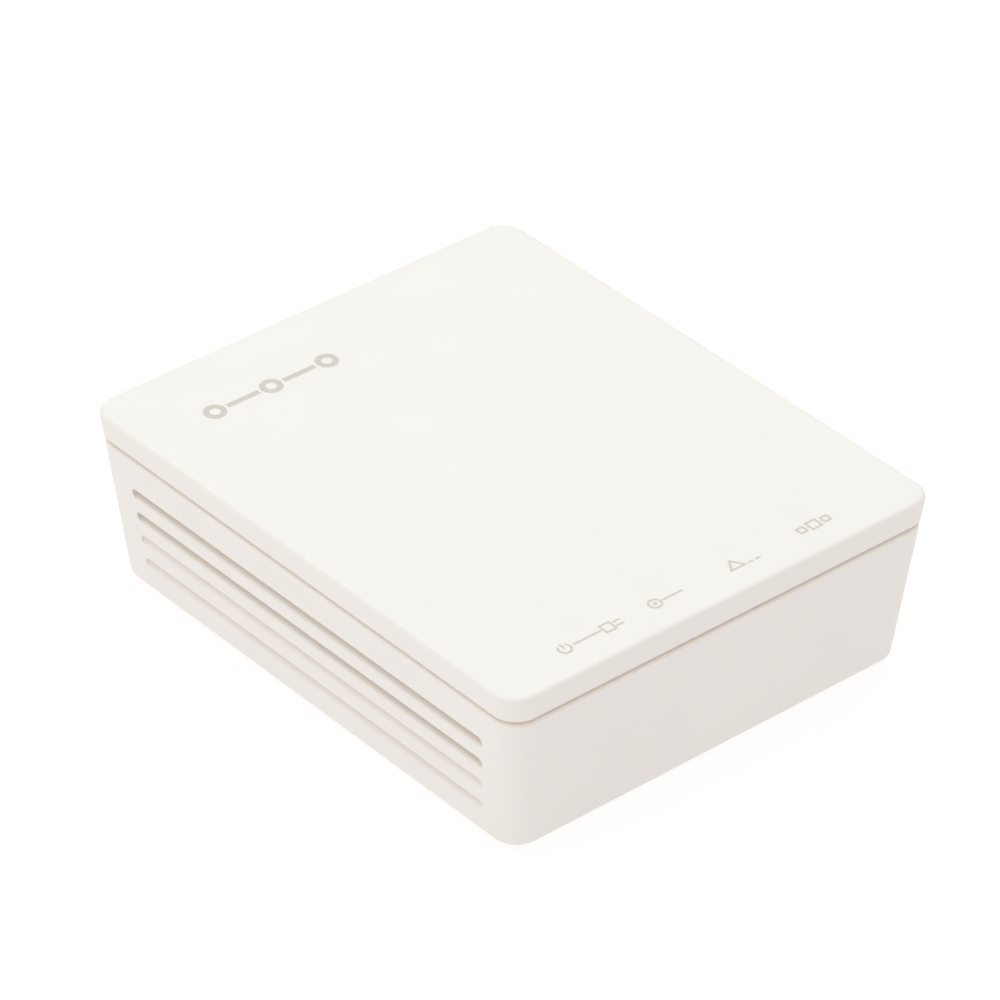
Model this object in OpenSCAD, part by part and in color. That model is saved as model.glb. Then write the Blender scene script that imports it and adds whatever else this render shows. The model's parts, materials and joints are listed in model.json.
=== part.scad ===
// Optical network terminal: a small white box that turns a fibre line into a network socket.
// The indicator marks are along the front, -Y, and the sockets are in the rear, +Y. +Z is up.
// The origin is the middle of the box, at the plane that its feet stand on. Sizes are in millimetres.

/* [Case] */
// Width across the cover
case_w = 82; // [68:1:110]
// Depth across the cover
case_d = 98; // [81:1:130]
// Height from the resting plane to the top face
case_h = 30; // [29:1:40]
// Radius of the upright corners
corner_r = 4.1; // [3.4:0.1:5.4]
// Radius of the edge round the top face
top_round = 0.8; // [0.4:0.1:1.2]
// How far each side leans in for every millimetre down
lean = 0.1; // [0.02:0.01:0.12]
// Wall thickness of the cover and the base
wall = 2; // [1.6:0.1:2.4]
// Height of the cover's side, from the top face to its lower edge
skirt_h = 4.4; // [3.6:0.1:5.2]
// Height of the shadow gap between the cover and the base
seam_h = 0.5; // [0.3:0.1:1]
// Height of the base's tongue that the cover fits over
tongue_h = 2; // [1.2:0.1:2.1]

/* [Side grooves] */
// Height of one groove
groove_h = 1.8; // [1:0.1:2.3]
// Distance from one groove to the next
groove_pitch = 4.2; // [3.5:0.1:4.2]
// Drop from the cover's lower edge to the first groove
groove_drop = 6.4; // [5.3:0.1:6.6]
// Depth of the lower grooves at their upper edge; these don't go through
groove_depth = 1.2; // [0.6:0.1:1.3]
// Distance from the front face to the groove ends
groove_front = 6.8; // [5.6:0.1:12]
// Distance from the rear face to the groove ends
groove_rear = 7.7; // [6.4:0.1:12]

/* [Underside] */
// Radius of a rubber foot
foot_r = 4.5; // [3.5:0.1:5.4]
// How far the feet stand out below the base
foot_out = 0.5; // [0.4:0.1:1]
// Depth of a foot's pocket in the base
foot_pocket = 0.8; // [0.5:0.1:1]
// Distance of a foot's centre from the sides of the base
foot_in = 9; // [7.5:0.1:11]
// Distance between the two wall keyholes
keyhole_pitch = 50; // [42:1:50]
// Radius of a keyhole's entry
keyhole_r = 3.5; // [3:0.1:4]
// Radius of a keyhole's slot
keyhole_slot_r = 1.9; // [1.5:0.1:2.2]
// Length of a keyhole's slot, from the entry's centre to the end's centre
keyhole_slot = 6; // [5:0.1:7]
// Width of the rating label
label_w = 42; // [30:1:42]
// Depth of the rating label
label_d = 22; // [15:1:22]

/* [Board] */
// Height of the posts that carry the circuit board
post_h = 4.5; // [4:0.1:5]
// Radius of a post
post_r = 3; // [2.6:0.1:3]
// Thickness of the circuit board
board_t = 1.6; // [1.2:0.1:1.6]
// Gap between the board's edge and the walls
board_gap = 0.8; // [0.5:0.1:1]
// Shank radius of a board screw
screw_r = 1.2; // [1:0.1:1.4]
// Head radius of a board screw
screw_head_r = 2.3; // [2:0.1:2.6]

/* [Rear panel] */
// Depth of the panel's recess at its lower edge
panel_in = 1; // [0.6:0.1:1.2]
// Width of the network socket's housing
lan_w = 16; // [15:0.1:16.5]
// Height of the network socket's housing
lan_h = 13.4; // [12.6:0.1:13.4]
// Width of the optical socket's housing
optic_w = 12.6; // [12:0.1:13]
// Height of the optical socket's housing
optic_h = 11.2; // [10:0.1:12.5]
// Bore radius of the optical socket's ferrule sleeve
ferrule_r = 1.27; // [1.05:0.01:1.53]
// Width of the power socket's housing
jack_w = 9; // [8.4:0.1:9.4]
// Height of the power socket's housing
jack_h = 11; // [9.6:0.1:12.4]
// Radius of the power socket's round mouth
jack_r = 3.2; // [2.9:0.1:3.6]
// Radius of the power socket's centre pin
jack_pin_r = 1.05; // [0.85:0.05:1.3]
// Radius of the power button
button_r = 3.6; // [3:0.1:4]
// How far the power button stands out of the panel
button_out = 2.8; // [1.5:0.1:3]
// Radius of the hole that a pin goes through to press the reset switch
pinhole_r = 1; // [0.8:0.1:1.2]

/* [Travel] */
// Travel of the power button
button_travel = 2.2; // [1.5:0.1:2.4]
// Travel of the reset plunger
reset_travel = 0.3; // [0.2:0.05:0.4]

/* [Indicator lights] */
// Distance from one light to the next
lamp_pitch = 14.35; // [12:0.05:14.4]
// Distance of the lights from the front of the cover
lamp_in = 9.5; // [8.5:0.1:11]
// Radius of a light pipe
pipe_r = 1.4; // [1.2:0.1:1.7]
// Thickness of the cover left over a light
lamp_skin = 0.8; // [0.6:0.1:1.2]

/* [Processor] */
// Width of the square processor
chip_w = 15; // [12:0.1:16]
// Width of the square heat sink
sink_w = 24; // [20:0.1:24]
// Height of the heat sink
sink_h = 8.6; // [7:0.1:10]
// Number of fins
sink_fins = 8; // [5:1:9]

/* [Hidden] */
LAMPS = ["lamp_power", "lamp_line", "lamp_alarm", "lamp_network"];
FEET = ["foot_front_left", "foot_front_right", "foot_rear_left", "foot_rear_right"];

$fn = 48;
hull_fn = 32;        // facets of a case corner
over = 1;            // how far a cut runs past the face it opens
sheet = 0.01;        // thickness of one level of the case
fit_gap = 0.15;      // gap round a piece that stands in an opening
move_gap = 0.3;      // gap between pieces that move past each other
snug = 0.05;         // gap of a pin in its seat

white = [0.93, 0.92, 0.90];
ink_black = [0.08, 0.08, 0.09];
steel = [0.75, 0.76, 0.78];
gold = [0.85, 0.68, 0.32];
board_green = [0.07, 0.32, 0.18];

// Heights of the case's levels
side_top = case_h - top_round;
ceiling_z = case_h - wall;
seam_top = case_h - skirt_h;
seam_bottom = seam_top - seam_h;
tongue_top = seam_bottom + tongue_h;
tongue_gap = 0.1;
floor_z = foot_out + wall;
board_z = floor_z + post_h;
board_top = board_z + board_t;
bottom_round = 1;    // rounding under the base
edge_ease = 0.3;     // broken edge on each side of the seam
groove_edge = 0.15;  // depth of a groove's floor at its lower edge

// Half of the case's width and depth at a height
function half_w(z) = case_w / 2 - lean * max(0, side_top - z);
function half_d(z) = case_d / 2 - lean * max(0, side_top - z);

// Rear panel, which stands upright in its recess
panel_low = board_z - 2.5;
panel_high = board_top + lan_h + 0.8;
panel_y = half_d(panel_low) - panel_in;
panel_back = panel_y - wall;
panel_corner = 1.5;
panel_side = 0.3;    // from the panel to where the curve of a case corner starts
panel_w = 2 * (half_w(panel_low) - corner_r - panel_side);
mouth_y = panel_y - move_gap;

// Order of the things in the panel, from -X to +X, and the width that each takes
BUTTON = 0;
JACK = 1;
RESET = 2;
LAN = 3;
OPTIC = 4;
port_ws = [2 * button_r + 1.8, jack_w, 2 * pinhole_r + 1, lan_w, optic_w];
function sum(v, n) = n == 0 ? 0 : v[n - 1] + sum(v, n - 1);
port_gap = (panel_w - sum(port_ws, 5)) / 6;
function port_x(i) = -panel_w / 2 + port_gap * (i + 1) + sum(port_ws, i) + port_ws[i] / 2;

// Circuit board and its posts
board_w = 2 * (half_w(board_z) - wall - board_gap);
board_front = -(half_d(board_z) - wall - board_gap);
board_back = panel_back - move_gap;
post_x = board_w / 2 - post_r;
lamp_y = -case_d / 2 + lamp_in;
shroud_half = 3;
front_post_y = lamp_y + shroud_half + 3.6;
rear_post_y = mouth_y - 23.5;
pilot_depth = 4;
// Places of the four posts
post_at = [for (sx = [-1, 1], y = [front_post_y, rear_post_y]) [sx * post_x, y]];

// Places of the four feet: front left, front right, rear left, rear right
function foot_x(i) = (i % 2 == 0 ? -1 : 1) * (half_w(foot_out) - foot_in);
function foot_y(i) = (i < 2 ? -1 : 1) * (half_d(foot_out) - foot_in);

// Underside, from front to rear: the front feet, the label, the keyholes and the vents
label_t = 0.12;
label_pocket = 0.2;
label_y = foot_y(0) + foot_r + 1 + label_d / 2;
keyhole_y = label_y + label_d / 2 + keyhole_slot + keyhole_slot_r + 1.2;
vents = 7;
vent_pitch = 5;
vent_r = 1;
vent_l = 16;
vent_y = keyhole_y + keyhole_r + 3.5 + vent_l / 2 + vent_r;

// Optical socket: distances are from its mouth, back into the box
optic_x = port_x(OPTIC);
optic_z = board_top + optic_h / 2;
optic_l = 20;
optic_cavity_w = 9.3;
optic_cavity_h = 7.6;
optic_cavity_l = 15.5;
sleeve_wall = 0.35;
sleeve_tip = 7.7;
sleeve_end = 14.8;
sleeve_gap = 0.04;
barrel_r = ferrule_r + sleeve_wall + sleeve_gap + 0.45;
barrel_tip = 7.5;
flange_r = barrel_r + 1.3;
flange_t = 1.3;
block_w = 7.4;
block_l = 7;
laser_l = 6;
laser_r = 2.8;
detector_l = 4.2;
detector_r = 2.7;
block_y = mouth_y - optic_l - block_l / 2;
laser_y = mouth_y - optic_l - block_l - laser_l;

// Network socket
lan_x = port_x(LAN);
lan_l = 16;
lan_cavity_w = 11.8;
lan_cavity_l = 13;
lan_floor = board_top + 4.2;
lan_roof = lan_floor + 6.8;
lan_pins = 8;
lan_pin_pitch = 1.02;
lan_pin_w = 0.4;

// Power socket
jack_x = port_x(JACK);
jack_z = board_top + jack_h / 2 + 0.7;
jack_l = 14;
jack_depth = 9.5;
pin_root = 3;        // length of the pin that is seated in the housing
pin_step = 0.2;      // how much thinner the seated length is

// Power switch and button
button_x = port_x(BUTTON);
button_flange = 1;
button_flange_r = button_r + 0.8;
button_z = board_top + button_flange_r + 0.5;
button_back = panel_back - move_gap - button_flange;
switch_y = button_back - button_travel - 0.4;
switch_w = 8;
switch_h = 8.4;
switch_l = 13;
plunger_w = 2.9;
plunger_in = 4.5;

// Reset switch
reset_x = port_x(RESET);
reset_z = board_top + 2.4;
reset_y = panel_back - 2.2;
reset_w = port_ws[RESET] + port_gap;
reset_l = 3.5;
reset_h = 4;
reset_plunger_r = 0.9;
reset_plunger_out = 1.1;

// Processor and the parts beside it
sink_x = 1;
sink_y = -10;
chip_t = 1.3;
pad_t = 0.5;
sink_base = 1.6;
side_gap = 1.5;
lead_t = 0.15;       // thickness of a chip's leads
memory_w = 8;
memory_l = 12;
memory_x = sink_x - sink_w / 2 - side_gap - memory_w / 2;
can_w = 12;
can_x = sink_x + sink_w / 2 + side_gap + can_w / 2;
can_y = sink_y + 3;
can_t = 0.25;
can_h = 2.6;
flash_w = 5.3;
flash_y = sink_y - memory_l / 2 - 1.8 - flash_w / 2;
crystal_w = 11;
crystal_d = 4.4;
crystal_y = can_y - can_w / 2 - 1 - crystal_d / 2;

// Power parts, in a column in front of the power socket and the switch
big_cap_r = 4;
big_cap_h = 11;
small_cap_r = 3.15;
small_cap_h = 8;
big_cap_y = mouth_y - jack_l - 0.6 - big_cap_r;
small_cap_y = big_cap_y - big_cap_r - 0.6 - small_cap_r;
inductor_w = 7;
inductor_h = 4;
inductor_y = rear_post_y - screw_head_r - 1.6 - inductor_w / 2;
regulator_w = 5;
regulator_d = 4;
regulator_y = small_cap_y - small_cap_r - 1.9 - regulator_d / 2;
transformer_w = 12.7;
transformer_d = 7;
transformer_h = 5.4;
transformer_y = mouth_y - lan_l - 3.6 - transformer_d / 2;

// Lights
shroud_top = seam_bottom - 3;
lamp_w = 2;
lamp_d = 1.25;
lamp_h = 0.8;
pipe_gap = 0.35;
bar_h = 2;
bar_z = shroud_top + 1.4;
function lamp_x(i) = (i - 1.5) * lamp_pitch;

// Snap hooks of the cover, and the catches that they hold in the base
hook_w = 8;
hook_t = 1.2;
hook_low = seam_bottom - 4.4;
catch_low = seam_bottom - 2.6;
catch_h = 1;
catch_d = 1;
hook_y = case_d / 2 - 17.5;
function inner_w(z) = half_w(z) - wall;
hook_x = inner_w(catch_low) - catch_d - fit_gap;

// One level of the case: four corner discs, set in from the outside, with the top or foot at z
module level(z, inset, up = true) {
    r = max(corner_r - inset, 0.5);
    low = up ? z : z - sheet;
    for (sx = [-1, 1], sy = [-1, 1])
        translate([sx * (half_w(z) - inset - r), sy * (half_d(z) - inset - r), low])
            cylinder(r = r, h = sheet, $fn = hull_fn);
}

// Block of the case between two heights, set in from the outside
module case_block(low, high, inset) {
    hull() {
        level(low, inset);
        level(high, inset, false);
    }
}

// Box given by its middle in X and Y, its foot and its size
module block(x, y, z, w, d, h) {
    translate([x - w / 2, y - d / 2, z])
        cube([w, d, h]);
}

// Plate with round upright corners
module plate(w, d, h, r) {
    block(0, 0, 0, w - 2 * r, d, h);
    block(0, 0, 0, w, d - 2 * r, h);
    for (sx = [-1, 1], sy = [-1, 1])
        translate([sx * (w / 2 - r), sy * (d / 2 - r), 0])
            cylinder(r = r, h = h);
}

// Rod along +Y from y0 to y1
module rod(x, z, r, y0, y1) {
    translate([x, y0, z])
        rotate([-90, 0, 0])
            cylinder(r = r, h = y1 - y0);
}

// Slot along Y with round ends, cut into a side from the outside; side is -1 or 1. Its floor slopes up and
// inwards from its lower edge, so that it is deepest under its upper edge.
module side_slot(side, z, depth, y0, y1) {
    r = groove_h / 2;
    inner = half_w(z + r) - depth;
    outer = half_w(z) + over;
    foot = half_w(z - r) - groove_edge;
    slope = [
        [inner, z + r + over], [inner, z + r], [foot, z - r], [foot, z - r - over], [outer, z - r - over],
        [outer, z + r + over]
    ];
    mirror([side < 0 ? 1 : 0, 0, 0])
        intersection() {
            union() {
                translate([inner - over, y0 + r, z - r])
                    cube([outer - inner + over, y1 - y0 - 2 * r, groove_h]);
                for (y = [y0 + r, y1 - r])
                    translate([inner - over, y, z])
                        rotate([0, 90, 0])
                            cylinder(r = r, h = outer - inner + over);
            }
            translate([0, y1 + over, 0])
                rotate([90, 0, 0])
                    linear_extrude(y1 - y0 + 2 * over)
                        polygon(slope);
        }
}

module side_grooves() {
    for (side = [-1, 1], i = [0:3]) {
        z = seam_top - groove_drop - groove_h / 2 - i * groove_pitch;
        depth = i < 2 ? wall + over : groove_depth;
        side_slot(side, z, depth, -half_d(z) + groove_front, half_d(z) - groove_rear);
    }
}

// Outside of the base, with its tongue
module base_outside() {
    hull() {
        level(foot_out, 0.7 * bottom_round);
        level(foot_out + 0.3 * bottom_round, 0.25 * bottom_round);
        level(foot_out + bottom_round, 0);
        level(seam_bottom - edge_ease, 0, false);
        level(seam_bottom, 0.6 * edge_ease, false);
    }
    case_block(seam_bottom - over, tongue_top, (wall + tongue_gap) / 2);
}

// Solid behind the rear panel, which the inside of the base leaves standing
module panel_backing() {
    block(0, panel_back + case_d / 2, floor_z - over, panel_w + 2 * wall, case_d,
        panel_high + wall - floor_z + over);
}

module panel_recess() {
    h = panel_high - panel_low;
    translate([0, panel_y, (panel_low + panel_high) / 2])
        rotate([-90, 0, 0])
            plate(panel_w, h, case_d, panel_corner);
}

// Openings in the rear panel, for the housings, the button and the reset pin
module panel_openings() {
    y0 = panel_back - over;
    y1 = panel_y + over;
    for (p = [[lan_x, lan_w, lan_h], [optic_x, optic_w, optic_h], [jack_x, jack_w, jack_h]])
        translate([p[0] - p[1] / 2 - fit_gap, y0, board_top - fit_gap])
            cube([p[1] + 2 * fit_gap, y1 - y0, p[2] + 2 * fit_gap]);
    rod(button_x, button_z, button_r + move_gap, y0, y1);
    rod(reset_x, reset_z, pinhole_r, y0, y1);
}

module keyholes() {
    for (sx = [-1, 1])
        translate([sx * keyhole_pitch / 2, keyhole_y, foot_out - over]) {
            cylinder(r = keyhole_r, h = wall + 2 * over);
            translate([0, -keyhole_slot, 0])
                cylinder(r = keyhole_slot_r, h = wall + 2 * over);
            translate([-keyhole_slot_r, -keyhole_slot, 0])
                cube([2 * keyhole_slot_r, keyhole_slot, wall + 2 * over]);
        }
}

module floor_vents() {
    for (i = [0:vents - 1])
        translate([(i - (vents - 1) / 2) * vent_pitch, vent_y, foot_out - over]) {
            block(0, 0, 0, 2 * vent_r, vent_l, wall + 2 * over);
            for (sy = [-1, 1])
                translate([0, sy * vent_l / 2, 0])
                    cylinder(r = vent_r, h = wall + 2 * over);
        }
}

module base_shell() {
    color(white) {
        difference() {
            base_outside();
            difference() {
                case_block(floor_z, tongue_top + over, wall);
                panel_backing();
                for (p = post_at)
                    translate([p[0], p[1], floor_z - over])
                        cylinder(r = post_r, h = post_h + over);
            }
            for (p = post_at)
                translate([p[0], p[1], board_z - pilot_depth])
                    cylinder(r = screw_r + snug, h = pilot_depth + over);
            panel_recess();
            panel_openings();
            side_grooves();
            keyholes();
            floor_vents();
            for (i = [0:3])
                translate([foot_x(i), foot_y(i), foot_out - over])
                    cylinder(r = foot_r + 0.1, h = foot_pocket + over);
            translate([0, label_y, foot_out - over])
                plate(label_w + 2 * fit_gap, label_d + 2 * fit_gap, label_pocket + over, 1.2);
        }
        for (sx = [-1, 1], sy = [-1, 1])
            mirror([sx < 0 ? 1 : 0, 0, 0])
                translate([inner_w(catch_low) - catch_d, sy * hook_y - hook_w / 2 - 0.5, catch_low])
                    cube([catch_d + wall / 2, hook_w + 1, catch_h]);
    }
}

// One snap hook on the +X side: an arm down from the cover with a nose that points out
module snap_hook() {
    tip_x = inner_w(hook_low) - 0.2;
    translate([0, hook_w / 2, 0])
        rotate([90, 0, 0])
            linear_extrude(hook_w)
                polygon([
                    [hook_x - hook_t, ceiling_z + over / 2],
                    [hook_x - hook_t, hook_low],
                    [hook_x, hook_low],
                    [tip_x, hook_low + 0.9],
                    [tip_x, catch_low - fit_gap],
                    [hook_x, catch_low - fit_gap],
                    [hook_x, ceiling_z + over / 2]
                ]);
}

module top_cover() {
    color(white) {
        difference() {
            hull() {
                level(seam_top, 0.5 * edge_ease);
                level(seam_top + edge_ease, 0);
                for (a = [0:22.5:90])
                    level(side_top + top_round * sin(a), top_round * (1 - cos(a)), false);
            }
            case_block(seam_top - over, tongue_top + tongue_gap, (wall - tongue_gap) / 2);
            case_block(seam_top, ceiling_z, wall);
            for (i = [0:3])
                translate([lamp_x(i), lamp_y, seam_top])
                    cylinder(r = pipe_r + pipe_gap, h = case_h - lamp_skin - seam_top);
        }
        for (sx = [-1, 1], sy = [-1, 1])
            mirror([sx < 0 ? 1 : 0, 0, 0])
                translate([0, sy * hook_y, 0])
                    snap_hook();
    }
}

module foot(i) {
    ease = 0.3;
    color([0.35, 0.35, 0.36])
        translate([foot_x(i), foot_y(i), 0])
            rotate_extrude()
                polygon([
                    [0, 0], [foot_r - ease, 0], [foot_r, ease],
                    [foot_r, foot_out + foot_pocket], [0, foot_out + foot_pocket]
                ]);
}

module rating_label() {
    color([0.96, 0.96, 0.95])
        translate([0, label_y, foot_out + label_pocket - label_t])
            plate(label_w, label_d, label_t, 1);
}

module main_board() {
    color(board_green)
        difference() {
            translate([0, (board_front + board_back) / 2, board_z])
                plate(board_w, board_back - board_front, board_t, 1.5);
            for (p = post_at)
                translate([p[0], p[1], board_z - over])
                    cylinder(r = screw_r + 0.3, h = board_t + 2 * over);
        }
}

module board_screws() {
    head_h = 1.6;
    cross_w = 0.5;
    color(steel)
        for (p = post_at)
            translate([p[0], p[1], board_top])
                difference() {
                    union() {
                        cylinder(r = screw_head_r, h = head_h);
                        translate([0, 0, 0.5 - board_t - pilot_depth])
                            cylinder(r = screw_r, h = board_t + pilot_depth);
                    }
                    block(0, 0, head_h - 0.8, 2.6, cross_w, over + 0.8);
                    block(0, 0, head_h - 0.8, cross_w, 2.6, over + 0.8);
                }
}

module processor() {
    color(ink_black)
        block(sink_x, sink_y, board_top, chip_w, chip_w, chip_t);
}

module thermal_pad() {
    color([0.55, 0.66, 0.75])
        block(sink_x, sink_y, board_top + chip_t, chip_w - 2, chip_w - 2, pad_t);
}

module heat_sink() {
    fin_t = 0.9;
    z = board_top + chip_t + pad_t;
    step = (sink_w - fin_t) / (sink_fins - 1);
    color([0.7, 0.71, 0.73])
        union() {
            block(sink_x, sink_y, z, sink_w, sink_w, sink_base);
            for (i = [0:sink_fins - 1])
                block(sink_x - sink_w / 2 + fin_t / 2 + i * step, sink_y, z, fin_t, sink_w, sink_h);
        }
}

module memory_chip() {
    memory_t = 1.1;
    color(ink_black)
        block(memory_x, sink_y, board_top, memory_w, memory_l, memory_t);
}

module flash_chip() {
    flash_t = 1.8;
    color(ink_black)
        block(memory_x, flash_y, board_top + lead_t, flash_w, flash_w, flash_t);
}

// Metal can of the clock crystal: a low box with round ends
module crystal() {
    color(steel)
        translate([can_x, crystal_y, board_top]) {
            plate(crystal_w, crystal_d, 0.5, crystal_d / 2 - 0.1);
            plate(crystal_w - 0.8, crystal_d - 0.8, 3.2, crystal_d / 2 - 0.5);
        }
}

module laser_driver() {
    driver_w = 5;
    driver_t = 0.9;
    color(ink_black)
        block(can_x, can_y, board_top, driver_w, driver_w, driver_t);
}

module shield_can() {
    color(steel)
        difference() {
            block(can_x, can_y, board_top, can_w, can_w, can_h);
            block(can_x, can_y, board_top - over, can_w - 2 * can_t, can_w - 2 * can_t, can_h - can_t + over);
            for (i = [-1:1], j = [-1:1])
                translate([can_x + 3 * i, can_y + 3 * j, board_top + can_h - over])
                    cylinder(r = 0.6, h = 2 * over);
        }
}

module line_transformer() {
    stand = 0.3;
    color(ink_black)
        block(lan_x, transformer_y, board_top + stand, transformer_w, transformer_d, transformer_h - stand);
}

module regulator() {
    regulator_t = 1.4;
    color(ink_black)
        block(jack_x, regulator_y, board_top + lead_t, regulator_w, regulator_d, regulator_t);
}

module power_inductor() {
    color([0.25, 0.25, 0.26])
        translate([button_x, inductor_y, board_top])
            difference() {
                plate(inductor_w, inductor_w, inductor_h, 1);
                translate([0, 0, inductor_h - 0.5])
                    difference() {
                        cylinder(r = 2.9, h = over);
                        translate([0, 0, -over])
                            cylinder(r = 2.2, h = 3 * over);
                    }
            }
}

// Upright capacitor can on its square foot, with the groove near the foot and a scored top
module capacitor(x, y, r, h) {
    foot_h = 0.9;
    translate([x, y, board_top]) {
        block(0, 0, 0, 2 * r, 2 * r, foot_h);
        difference() {
            cylinder(r = r, h = h);
            translate([0, 0, foot_h + 0.8])
                difference() {
                    cylinder(r = r + over, h = 0.7);
                    translate([0, 0, -over])
                        cylinder(r = r - 0.35, h = 3 * over);
                }
            block(0, 0, h - 0.2, 1.4 * r, 0.3, over);
            block(0, 0, h - 0.2, 0.3, 1.4 * r, over);
        }
    }
}

module input_capacitor() {
    color([0.16, 0.17, 0.2])
        capacitor(jack_x, big_cap_y, big_cap_r, big_cap_h);
}

module output_capacitor() {
    color([0.16, 0.17, 0.2])
        capacitor(jack_x, small_cap_y, small_cap_r, small_cap_h);
}

// Small surface parts: a row behind the lights, and a row beside the transformer
module chip_resistors() {
    row = 8;
    color([0.13, 0.13, 0.14]) {
        for (i = [0:row - 1])
            block((i - (row - 1) / 2) * 4.2, lamp_y + shroud_half + 1.4, board_top, 1.6, 0.8, 0.5);
        for (i = [0:3])
            block(lan_x + (i - 1.5) * 2.6, transformer_y - transformer_d / 2 - 2.8, board_top, 0.8, 1.6, 0.5);
    }
}

// Row of gull-wing leads along X, on the side of a chip given by its edge
module lead_row(x, y, side, count, pitch, w, rise) {
    upright = 0.4;
    foot_l = 1.4;
    for (i = [0:count - 1])
        translate([x + (i - (count - 1) / 2) * pitch, y, board_top]) {
            block(0, side * upright / 2, 0, w, upright, rise);
            block(0, side * foot_l / 2, 0, w, foot_l, lead_t);
        }
}

module chip_leads() {
    color(steel) {
        for (side = [-1, 1]) {
            lead_row(lan_x, transformer_y + side * transformer_d / 2, side, 8, 1.5, 0.45, 1.6);
            lead_row(memory_x, flash_y + side * flash_w / 2, side, 4, 1.27, 0.4, 0.9);
            lead_row(jack_x, regulator_y + side * regulator_d / 2, side, side < 0 ? 3 : 2, 1.5, 0.5, 0.8);
        }
        for (i = [-1:1])
            rod(optic_x + i * 1.2, optic_z, 0.22, laser_y - 2.5, laser_y);
    }
}

// Moulded socket: a block with the stepped mouth of a network plug, latch side down
module lan_socket() {
    steps = [[lan_cavity_w, lan_floor, lan_roof], [6.3, board_top + 2.6, lan_floor + over],
        [3.4, board_top + 1.3, board_top + 2.6 + over]];
    color(ink_black)
        difference() {
            block(lan_x, mouth_y - lan_l / 2, board_top, lan_w, lan_l, lan_h);
            for (s = steps)
                translate([lan_x - s[0] / 2, mouth_y - lan_cavity_l, s[1]])
                    cube([s[0], lan_cavity_l + over, s[2] - s[1]]);
        }
}

// Spring wires that lean down from the socket's roof towards its back
module lan_contacts() {
    t = 0.35;
    y0 = mouth_y - 2.2;
    y1 = mouth_y - 10.5;
    drop = 2.2;
    color(gold)
        for (i = [0:lan_pins - 1])
            translate([lan_x + (i - (lan_pins - 1) / 2) * lan_pin_pitch - lan_pin_w / 2, 0, lan_roof])
                rotate([90, 0, 90])
                    linear_extrude(lan_pin_w)
                        polygon([[y0, 0], [y0, -t], [y1, -drop], [y1, -drop + t], [y0 - 1, 0]]);
}

module optical_housing() {
    y_end = mouth_y - optic_cavity_l;
    color([0.05, 0.25, 0.6])
        difference() {
            block(optic_x, mouth_y - optic_l / 2, board_top, optic_w, optic_l, optic_h);
            translate([optic_x - optic_cavity_w / 2, y_end, optic_z - optic_cavity_h / 2])
                cube([optic_cavity_w, optic_cavity_l + over, optic_cavity_h]);
            translate([optic_x - 1.6, y_end, optic_z])
                cube([3.2, optic_cavity_l + over, optic_cavity_h / 2 + 0.9]);
            rod(optic_x, optic_z, barrel_r + fit_gap, mouth_y - optic_l - over, y_end + over);
            rod(optic_x, optic_z, flange_r + fit_gap, mouth_y - optic_l - over, mouth_y - optic_l + flange_t);
        }
}

// Inner latch of the optical socket: a ring on the cavity's end wall and two hooked arms
module optical_latch() {
    arm_x = optic_cavity_w / 2 - 0.35;
    arm_t = 0.8;
    base_t = 1;
    arm_l = optic_cavity_l - 5.5;
    y_end = mouth_y - optic_cavity_l;
    color([0.9, 0.9, 0.88])
        difference() {
            union() {
                translate([optic_x - arm_x, y_end, optic_z - optic_cavity_h / 2 + 0.3])
                    cube([2 * arm_x, base_t, optic_cavity_h - 0.6]);
                for (side = [-1, 1])
                    mirror([side < 0 ? 1 : 0, 0, 0])
                        translate([side * optic_x, 0, optic_z - 1.5])
                            linear_extrude(3)
                                polygon([[arm_x - arm_t, y_end], [arm_x, y_end], [arm_x, y_end + arm_l],
                                    [arm_x - arm_t - 0.5, y_end + arm_l - 0.8],
                                    [arm_x - arm_t, y_end + arm_l - 1.8]]);
            }
            rod(optic_x, optic_z, barrel_r + fit_gap, y_end - over, mouth_y);
        }
}

module optical_receptacle() {
    color(steel)
        difference() {
            union() {
                rod(optic_x, optic_z, flange_r, mouth_y - optic_l, mouth_y - optic_l + flange_t);
                rod(optic_x, optic_z, barrel_r, mouth_y - optic_l, mouth_y - barrel_tip);
            }
            rod(optic_x, optic_z, ferrule_r + sleeve_wall + sleeve_gap, mouth_y - sleeve_end, mouth_y);
        }
}

module ferrule_sleeve() {
    color([0.95, 0.95, 0.93])
        difference() {
            rod(optic_x, optic_z, ferrule_r + sleeve_wall, mouth_y - sleeve_end, mouth_y - sleeve_tip);
            rod(optic_x, optic_z, ferrule_r, mouth_y - sleeve_end - over, mouth_y);
        }
}

module optics_block() {
    color([0.8, 0.75, 0.6])
        block(optic_x, block_y, optic_z - block_w / 2, block_w, block_l, block_w);
}

module laser_can() {
    stem = 1.2;
    color(gold) {
        rod(optic_x, optic_z, laser_r, laser_y, laser_y + stem);
        rod(optic_x, optic_z, laser_r - 0.5, laser_y, laser_y + laser_l);
    }
}

module detector_can() {
    x0 = optic_x - block_w / 2 - detector_l;
    color(gold)
        translate([x0, block_y, optic_z])
            rotate([0, 90, 0]) {
                cylinder(r = detector_r, h = 1);
                cylinder(r = detector_r - 0.4, h = detector_l);
            }
}

module power_jack() {
    color(ink_black)
        difference() {
            union() {
                block(jack_x, mouth_y - 2, board_top, jack_w, 4, jack_h);
                block(jack_x, mouth_y - jack_l / 2, board_top, jack_w - 0.8, jack_l, jack_h - 1);
            }
            rod(jack_x, jack_z, jack_r, mouth_y - jack_depth, mouth_y + over);
            rod(jack_x, jack_z, jack_pin_r - pin_step + snug, mouth_y - jack_depth - pin_root, mouth_y);
        }
}

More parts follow.
